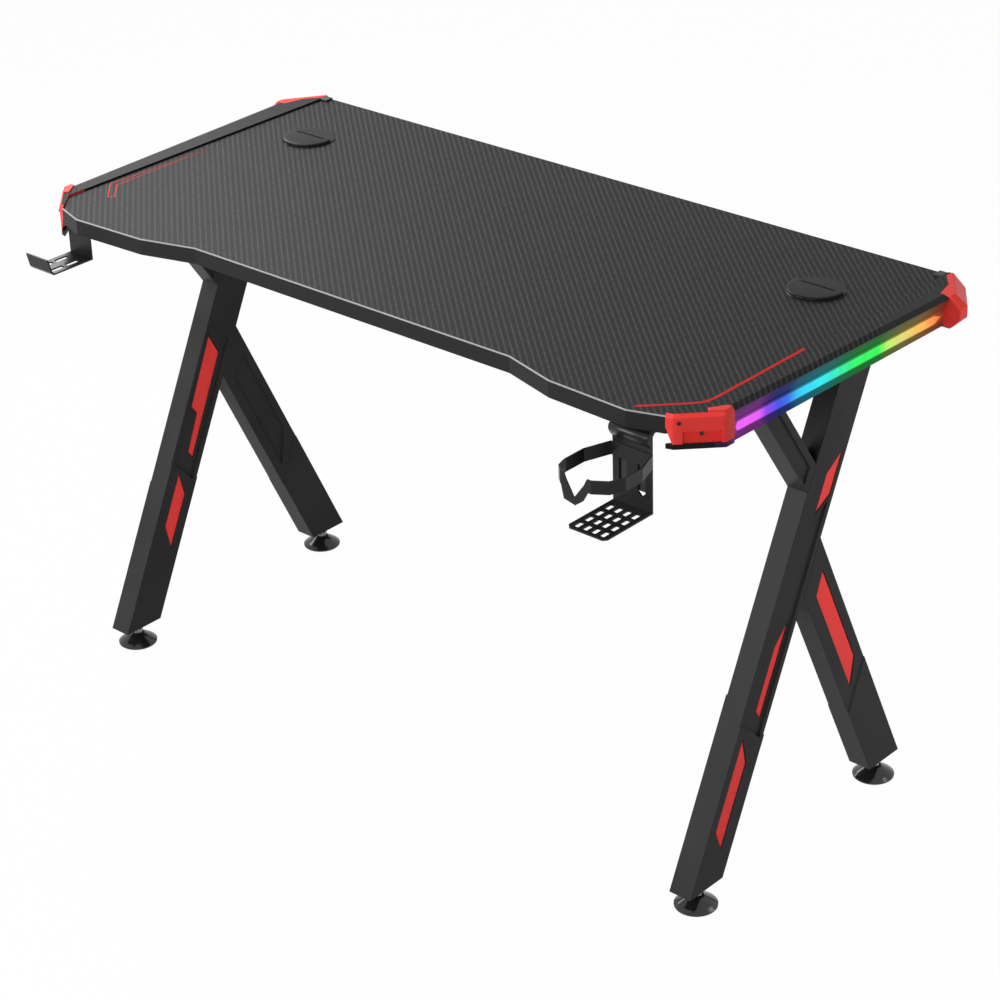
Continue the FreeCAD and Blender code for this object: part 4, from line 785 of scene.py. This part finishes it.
def cut_groove(shape, centre, at, sizes):
    """Press a short straight groove into the top of a lid."""
    half = sizes.lid_groove / 2.0
    half_length = sizes.lid_groove_length / 2.0
    wall = sizes.lid_groove_wall
    lines = (at - half - wall, at - half, at + half, at + half + wall)
    ends = (centre.x - half_length, centre.x + half_length)
    for normal, places in ((Vector((0.0, 1.0, 0.0)), lines), (Vector((1.0, 0.0, 0.0)), ends)):
        for place in places:
            slice_at(shape, normal * place, normal)
    top = max(vert.co.z for vert in shape.verts)
    for vert in shape.verts:
        across = abs(vert.co.y - at) < half + wall / 2.0
        along = abs(vert.co.x - centre.x) < half_length - wall
        if across and along and vert.co.z > top - sizes.lid_crown:
            vert.co.z -= sizes.lid_groove_depth


def domed_lid(shape, centre, radius, cut, low, high, sizes):
    """Add a round lid, cut straight beyond its middle, with a groove beside the cut."""
    profile = lid_profile(radius, low, high, sizes)
    lathe(shape, profile, LID_STEPS, Matrix.Translation((centre.x, centre.y, 0.0)))
    result = slice_at(shape, Vector((0.0, cut, 0.0)), Vector((0.0, 1.0, 0.0)), clear_outer=True)
    rim = [edge for edge in result["geom_cut"] if isinstance(edge, bmesh.types.BMEdge)]
    bmesh.ops.holes_fill(shape, edges=rim)
    cut_groove(shape, centre, cut - sizes.lid_groove_inset, sizes)


class DESK_OT_grommets(Operator):
    """Fit the cable grommets with domed half lids that turn"""

    bl_idname = "gaming_desk.grommets"
    bl_label = "Grommets"

    def execute(self, context):
        sizes = settings().sizes
        for side in SIDES:
            low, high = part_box("grommet_lid_" + side)
            middle = (low.x + high.x) / 2.0
            radius = (high.x - low.x) / 2.0
            centre = Vector((middle, low.y + radius, 0.0))
            shape = bmesh.new()
            domed_lid(shape, centre, radius, high.y, low.z, high.z, sizes)
            lid = add_piece("domed_lid_" + side, shape, "lid", "lid_" + side, smooth=32.0)
            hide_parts("grommet_lid_" + side)
            wear("grommet_sleeve_" + side, "lid")
        return {"FINISHED"}


class DESK_OT_light_rails(Operator):
    """Dress the side rails, their light bars and circuit strips"""

    bl_idname = "gaming_desk.light_rails"
    bl_label = "Light rails"

    def execute(self, context):
        for side in SIDES:
            wear("side_rail_" + side, "rail_" + side)
            wear("light_diffuser_" + side, "light")
            wear("led_strip_" + side, "strip")
        return {"FINISHED"}


# Section of a screw's head from its foot to its recess, in shares of its radius.
SCREW_HEAD_SHARES = ((0.0, -0.3), (1.0, -0.3), (1.0, 0.25), (0.86, 0.5),
                     (0.5, 0.62), (0.44, 0.2), (0.0, 0.2))


def screw_head(shape, spot, normal, radius):
    """Add a small pan head with a round recess."""
    profile = [(radius * out, radius * up) for out, up in SCREW_HEAD_SHARES]
    lathe(shape, profile, SCREW_STEPS, facing_place(spot, normal))


# Plan of a front cap in millimetres from its inner front corner: its face, its back and what it bears.
FRONT_CAP_FACE = ((0.0, 0.0), (8.9, 2.6), (10.8, 3.8), (55.2, 48.2), (56.0, 50.2), (56.0, 65.0))
FRONT_CAP_SLANT = FRONT_CAP_FACE[2:4]
FRONT_CAP_BACK = ((26.0, 65.0), (26.0, 35.0))
FRONT_CAP_LOW_END = ((8.4, 2.4),)
FRONT_CAP_TAB = ((38.5, 35.6), (53.2, 50.3), (53.2, 64.0), (47.0, 64.0), (32.5, 42.0))
FRONT_CAP_SCREWS = ((14.6, 7.6), (33.0, 28.7))
FRONT_CAP_SCREW_HEIGHTS = (28.0, 12.5)

# The sunk panel of a front cap: its ends along the slanted face, and how near that face a point is on it.
FRONT_PANEL_SHARES = (0.17, 0.93)
ON_FACE = 0.05 * MM

# The plate in the sunk panel: its gaps to the panel's rim and to the cap's foot, its rise and its hold.
PLATE_GAP = 0.4 * MM
PLATE_FOOT = 0.6 * MM
PLATE_RISE = 0.5 * MM
PLATE_SINK = 0.3 * MM

# How deep the other small pieces are let in, and the gap round the woven sheet.
SHEET_SINK = 0.2 * MM
SHEET_GAP = 0.3 * MM
TAB_SINK = 1.0 * MM
CLIP_SINK = 0.5 * MM

# The clip at a rear cap: its sides from the board's rear corner, inward and forward, in millimetres.
CLIP_INWARD = (13.0, -1.0)
CLIP_FORWARD = (17.0, 2.0)


def cap_spots(places):
    """Plan places on the right front cap."""
    return [Vector((CAP_LOW.x + right * MM, CAP_LOW.y + back * MM)) for right, back in places]


def on_side(sign, spots):
    """Plan places of the right side, mirrored where the sign is negative."""
    return [(spot.x * sign, spot.y) for spot in spots]


class DESK_OT_corner_caps(Operator):
    """Dress the red corner caps with their screws, tabs and clips"""

    bl_idname = "gaming_desk.corner_caps"
    bl_label = "Corner caps"

    def execute(self, context):
        sizes = settings().sizes
        for side, sign in SIDES.items():
            wear("rear_cap_" + side, "cap")
            soften("rear_cap_" + side, sizes.cap_arris, 3)
            self.add_front_shell(side, sign, sizes)
            self.add_front_sheet(side, sign, sizes)
            self.add_front_screws(side, sign, sizes)
            self.add_front_tab(side, sign, sizes)
            self.add_rear_clip(side, sign, sizes)
        return {"FINISHED"}

    def add_front_shell(self, side, sign, sizes):
        """The front cap with its chamfered brow and the sunk panel in its slanted face."""
        face, back = cap_spots(FRONT_CAP_FACE), cap_spots(FRONT_CAP_BACK)
        brow = inset_chain(face, sizes.brow_depth)
        foot = cap_spots(FRONT_CAP_LOW_END) + face[1:]
        levels = ((CAP_LOW.z, foot), (CAP_LOW.z + sizes.chin_height, face),
                  (CAP_HIGH.z - sizes.brow_height, face), (CAP_HIGH.z, brow))
        shape = bmesh.new()
        loft(shape, [[(spot.x, spot.y, level) for spot in front + back] for level, front in levels])
        self.sink_panel(shape, sizes)
        if sign < 0:
            bmesh.ops.scale(shape, vec=(-1.0, 1.0, 1.0), verts=shape.verts)
        shell = add_piece("front_cap_shell_" + side, shape, "cap", smooth=30.0)
        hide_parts("front_cap_" + side)
        self.add_panel_plate(side, sign, sizes)

    def add_panel_plate(self, side, sign, sizes):
        """The deeper red plate on the floor of a front cap's sunk panel; its colour is partly the panel's
        own red and partly painted shade of the recess.
        """
        start, end = cap_spots(FRONT_CAP_SLANT)
        run = end - start
        out = Vector((run.y, -run.x)).normalized()
        edge = PLATE_GAP / run.length
        near = start + run * (FRONT_PANEL_SHARES[0] + edge)
        far = start + run * (FRONT_PANEL_SHARES[1] - edge)
        floor = out * (sizes.panel_depth + PLATE_SINK)
        face = out * (sizes.panel_depth - PLATE_RISE)
        outline = on_side(sign, (near - floor, near - face, far - face, far - floor))
        low, high = CAP_LOW.z + PLATE_FOOT, CAP_LOW.z + sizes.panel_height - PLATE_GAP
        add_block("front_cap_panel_" + side, outline, low, high, "panel")

    def sink_panel(self, shape, sizes):
        """Press the sunk panel into the lower half of a cap's slanted face."""
        start, end = (spot.to_3d() for spot in cap_spots(FRONT_CAP_SLANT))
        way = (end - start).normalized()
        span = (end - start).length
        wall = sizes.panel_wall
        low, high = (span * share for share in FRONT_PANEL_SHARES)
        top = CAP_LOW.z + sizes.panel_height
        up = Vector((0.0, 0.0, 1.0))
        for place in (low - wall, low, high, high + wall):
            slice_at(shape, start + way * place, way)
        for place in (top, top + wall):
            slice_at(shape, up * place, up)
        out = Vector((way.y, -way.x, 0.0))
        for vert in shape.verts:
            offset = vert.co - start
            along = offset.dot(way)
            inside = low - wall / 2.0 < along < high + wall / 2.0 and vert.co.z < top + wall / 2.0
            if inside and abs(offset.dot(out)) < ON_FACE:
                vert.co -= out * sizes.panel_depth

    def add_front_sheet(self, side, sign, sizes):
        """The board's woven sheet where it runs on over the front cap's top."""
        face = inset_chain(cap_spots(FRONT_CAP_FACE), sizes.brow_depth + SHEET_GAP)
        outline = on_side(sign, face + cap_spots(FRONT_CAP_BACK))
        low, high = CAP_HIGH.z - SHEET_SINK, CAP_HIGH.z + sizes.sheet_rise
        add_block("front_cap_sheet_" + side, outline, low, high, "board")

    def add_front_screws(self, side, sign, sizes):
        """Two dark screws in the front cap's slanted face."""
        normal = Vector((sign, -1.0, 0.0)).normalized()
        shape = bmesh.new()
        spots = on_side(sign, cap_spots(FRONT_CAP_SCREWS))
        for spot, up in zip(spots, FRONT_CAP_SCREW_HEIGHTS):
            screw_head(shape, Vector((*spot, CAP_LOW.z + up * MM)), normal, sizes.cap_screw)
        add_piece("front_cap_screws_" + side, shape, "screw", smooth=35.0)

    def add_front_tab(self, side, sign, sizes):
        """The raised tab on the front cap's top, beside the rail."""
        outline = on_side(sign, cap_spots(FRONT_CAP_TAB))
        low, high = CAP_HIGH.z - TAB_SINK, CAP_HIGH.z + sizes.tab_rise
        tab = add_block("front_cap_tab_" + side, outline, low, high, "cap")
        round_edges(tab, sizes.tab_arris, 3)

    def add_rear_clip(self, side, sign, sizes):
        """The small black clip where the rear cap meets the board."""
        inner, outer = (sign * (BOARD_HIGH.x - inward * MM) for inward in CLIP_INWARD)
        front, rear = (BOARD_HIGH.y - forward * MM for forward in CLIP_FORWARD)
        outline = [(inner, front), (outer, front), (outer, rear), (inner, rear)]
        low, high = BOARD_TOP - CLIP_SINK, BOARD_TOP + sizes.clip_rise
        clip = add_block("rear_cap_clip_" + side, outline, low, high, "plastic")
        round_edges(clip, sizes.clip_arris, 3)


class DESK_OT_leg_frames(Operator):
    """Dress the crossed steel legs, their inlays, plates and crossbars"""

    bl_idname = "gaming_desk.leg_frames"
    bl_label = "Leg frames"

    def execute(self, context):
        sizes = settings().sizes
        for side in SIDES:
            for name in ("long_leg_", "rear_leg_", "front_strut_"):
                wear(name + side, "steel")
                soften(name + side, sizes.arris, 3)
            wear("leg_inlays_" + side, "inlay")
            soften("leg_inlays_" + side, sizes.inlay_arris)
            wear("top_plate_" + side, "steel")
        wear("front_crossbar", "steel")
        wear("rear_crossbar", "steel")
        return {"FINISHED"}


class DESK_OT_feet(Operator):
    """Dress the levelling feet: plugs, studs and pads"""

    bl_idname = "gaming_desk.feet"
    bl_label = "Levelling feet"

    def execute(self, context):
        for end in ENDS:
            for side in SIDES:
                place = end + "_" + side
                wear("foot_plug_" + place, "plastic")
                wear("foot_stud_" + place, "thread")
                wear("foot_pad_" + place, "gloss")
        return {"FINISHED"}


# Section of the cup bracket's bend: reach from the plate's face and height from the board, in millimetres.
CUP_BEND = ((0.6, -0.6), (-5.0, -0.6), (-8.0, -2.2), (-9.6, -5.0),
            (-9.8, -8.5), (-8.2, -12.0), (-4.5, -17.0), (0.6, -22.0))
CUP_BEND_END = 2.0 * MM
CUP_BEND_END_SHARE = 0.82

# The sheet behind the cup bracket's slots: the plate's thickness, then the sheet's margins and its own.
CUP_PLATE = 2.5 * MM
BACKING_SIDE = 3.0 * MM
BACKING_FOOT = 26.0 * MM
BACKING_HEAD = 16.0 * MM
BACKING_THICKNESS = 1.2 * MM


class DESK_OT_cup_holder(Operator):
    """Dress the cup holder's bent sheet and strap"""

    bl_idname = "gaming_desk.cup_holder"
    bl_label = "Cup holder"

    def execute(self, context):
        wear("cup_bracket", "sheet")
        wear("cup_ring", "sheet")
        soften("cup_ring", settings().sizes.sheet_arris)
        low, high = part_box("cup_bracket")
        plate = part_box("cup_ring")[1].y
        self.add_bend(low, high, plate)
        self.add_backing(low, high, plate)
        return {"FINISHED"}

    def add_bend(self, low, high, plate):
        """The rounded bend at the top of the plate, swept across its width."""
        rings = []
        for x, share in ((low.x, CUP_BEND_END_SHARE), (low.x + CUP_BEND_END, 1.0),
                         (high.x - CUP_BEND_END, 1.0), (high.x, CUP_BEND_END_SHARE)):
            rings.append([(x, plate + out * share * MM, high.z + up * MM) for out, up in CUP_BEND])
        shape = bmesh.new()
        loft(shape, rings)
        add_piece("cup_bracket_bend", shape, "sheet", smooth=40.0)

    def add_backing(self, low, high, plate):
        """The dark sheet behind the plate's slots."""
        near = plate + CUP_PLATE
        far = near + BACKING_THICKNESS
        left, right = low.x + BACKING_SIDE, high.x - BACKING_SIDE
        foot, head = low.z + BACKING_FOOT, high.z - BACKING_HEAD
        outline = [(left, near), (right, near), (right, far), (left, far)]
        add_block("cup_bracket_backing", outline, foot, head, "plastic")


class DESK_OT_headphone_hook(Operator):
    """Dress the headphone hook's bent sheet"""

    bl_idname = "gaming_desk.headphone_hook"
    bl_label = "Headphone hook"

    def execute(self, context):
        wear("headphone_hook", "sheet")
        return {"FINISHED"}


class DESK_OT_controller(Operator):
    """Dress the light controller and its button"""

    bl_idname = "gaming_desk.controller"
    bl_label = "Light controller"

    def execute(self, context):
        wear("controller_box", "plastic")
        wear("controller_button", "rubber")
        return {"FINISHED"}


class DESK_OT_fasteners(Operator):
    """Dress the screws"""

    bl_idname = "gaming_desk.fasteners"
    bl_label = "Screws"

    def execute(self, context):
        for name in ("rail", "top_plate", "crossbar", "cup", "hook", "controller"):
            wear(name + "_screws", "screw")
        return {"FINISHED"}


# The lamps: name, power setting, place and breadth in metres.
LAMPS = (
    ("Soft key", "key_power", (-1.8, 0.5, 2.1), 1.6),
    ("Front left", "left_power", (-1.1, -2.5, 1.5), 1.5),
    ("Front fill", "front_power", (1.1, -3.2, 1.8), 1.6),
    ("Right fill", "fill_power", (1.2, 0.45, 0.6), 0.5),
)
LAMP_TARGET = Vector((0.0, 0.0, 0.5))

# The floor: half its breadth in metres, its level, and how white it looks.
FLOOR_REACH = 14.0
FLOOR_LEVEL = -0.3 * MM
FLOOR_WHITE_SHARE = 0.98


class DESK_OT_stage(Operator):
    """Set the pale floor, soft studio light and the camera"""

    bl_idname = "gaming_desk.stage"
    bl_label = "Stage"

    def execute(self, context):
        scene = context.scene
        scene.view_settings.view_transform = "Standard"
        self.add_floor()
        self.add_world(scene)
        light = settings().light
        for name, setting, place, breadth in LAMPS:
            self.add_lamp(name, place, getattr(light, setting), breadth)
        self.add_camera(scene)
        return {"FINISHED"}

    def seen_share(self, tree):
        """One where a ray from the camera, a mirror or glass looks, else nought."""
        path = tree.add("ShaderNodeLightPath").outputs
        straight = tree.sum("MAXIMUM", path["Is Camera Ray"], path["Is Glossy Ray"])
        return tree.sum("MAXIMUM", straight, path["Is Transmission Ray"])

    def add_floor(self):
        """A wide pale floor that looks white and keeps a soft shadow."""
        shape = bmesh.new()
        corners = ((-1, -1), (1, -1), (1, 1), (-1, 1))
        spots = [(x * FLOOR_REACH, y * FLOOR_REACH, FLOOR_LEVEL) for x, y in corners]
        shape.faces.new([shape.verts.new(spot) for spot in spots])
        material = bpy.data.materials.new("studio floor")
        tree = Tree(material)
        tree.nodes.clear()
        diffuse = tree.add("ShaderNodeBsdfDiffuse", {"Color": tuple(settings().light.floor)})
        white = tree.add("ShaderNodeEmission", {"Color": (1.0, 1.0, 1.0)})
        share = tree.times(self.seen_share(tree), FLOOR_WHITE_SHARE)
        blend = tree.add("ShaderNodeMixShader", {0: share, 1: diffuse.outputs[0], 2: white.outputs[0]})
        tree.add("ShaderNodeOutputMaterial", {"Surface": blend.outputs[0]})
        floor = make_object("studio_floor", shape, material)

    def add_world(self, scene):
        """White surroundings that give an even, plain light."""
        world = bpy.data.worlds.new("studio")
        tree = Tree(world)
        level = tree.add("ShaderNodeMapRange", {
            "Value": self.seen_share(tree), "To Min": settings().light.ambient, "To Max": 1.0})
        tree.feed(tree.nodes["Background"], {"Color": (1.0, 1.0, 1.0), "Strength": level.outputs["Result"]})
        scene.world = world

    def add_lamp(self, name, place, power, size):
        """A soft square lamp that looks at the desk."""
        data = bpy.data.lights.new(name, "AREA")
        data.energy = power
        data.shape = "SQUARE"
        data.size = size
        lamp = bpy.data.objects.new(name, data)
        bpy.context.scene.collection.objects.link(lamp)
        lamp.location = place
        lamp.visible_camera = False
        aim = LAMP_TARGET - lamp.location
        lamp.rotation_euler = aim.to_track_quat("-Z", "Y").to_euler()

    def add_camera(self, scene):
        """The camera at the photograph's viewing angle."""
        view = settings().camera
        data = bpy.data.cameras.new("Photo view")
        data.lens = view.lens
        data.sensor_width = view.sensor
        camera = bpy.data.objects.new("Photo view", data)
        scene.collection.objects.link(camera)
        camera.location = view.place
        camera.rotation_euler = view.turn
        scene.camera = camera


STEPS = (
    DESK_OT_board, DESK_OT_board_lines, DESK_OT_grommets, DESK_OT_light_rails, DESK_OT_corner_caps,
    DESK_OT_leg_frames, DESK_OT_feet, DESK_OT_cup_holder, DESK_OT_headphone_hook, DESK_OT_controller,
    DESK_OT_fasteners, DESK_OT_stage,
)


class DESK_PT_dressing(Panel):
    """Lists the desk's pieces and settings"""

    bl_idname = "DESK_PT_dressing"
    bl_label = "Gaming Desk"
    bl_space_type = "VIEW_3D"
    bl_region_type = "UI"
    bl_category = "Desk"

    def draw(self, context):
        for step in STEPS:
            self.layout.operator(step.bl_idname)
        desk = context.scene.gaming_desk
        for group in (desk.colours, desk.sizes, desk.light, desk.camera):
            box = self.layout.box()
            for key in group.__annotations__:
                box.prop(group, key)


CLASSES = (DeskColours, DeskSizes, DeskLight, DeskCamera, DeskSettings, *STEPS, DESK_PT_dressing)


def register():
    """Register the classes and the scene's settings."""
    for item in CLASSES:
        bpy.utils.register_class(item)
    bpy.types.Scene.gaming_desk = PointerProperty(type=DeskSettings)


def unregister():
    """Remove the scene's settings and the classes."""
    del bpy.types.Scene.gaming_desk
    for item in reversed(CLASSES):
        bpy.utils.unregister_class(item)


def main():
    """Dress the desk piece by piece."""
    register()
    for step in STEPS:
        group, name = step.bl_idname.split(".")
        getattr(getattr(bpy.ops, group), name)()


if __name__ == "__main__":
    main()
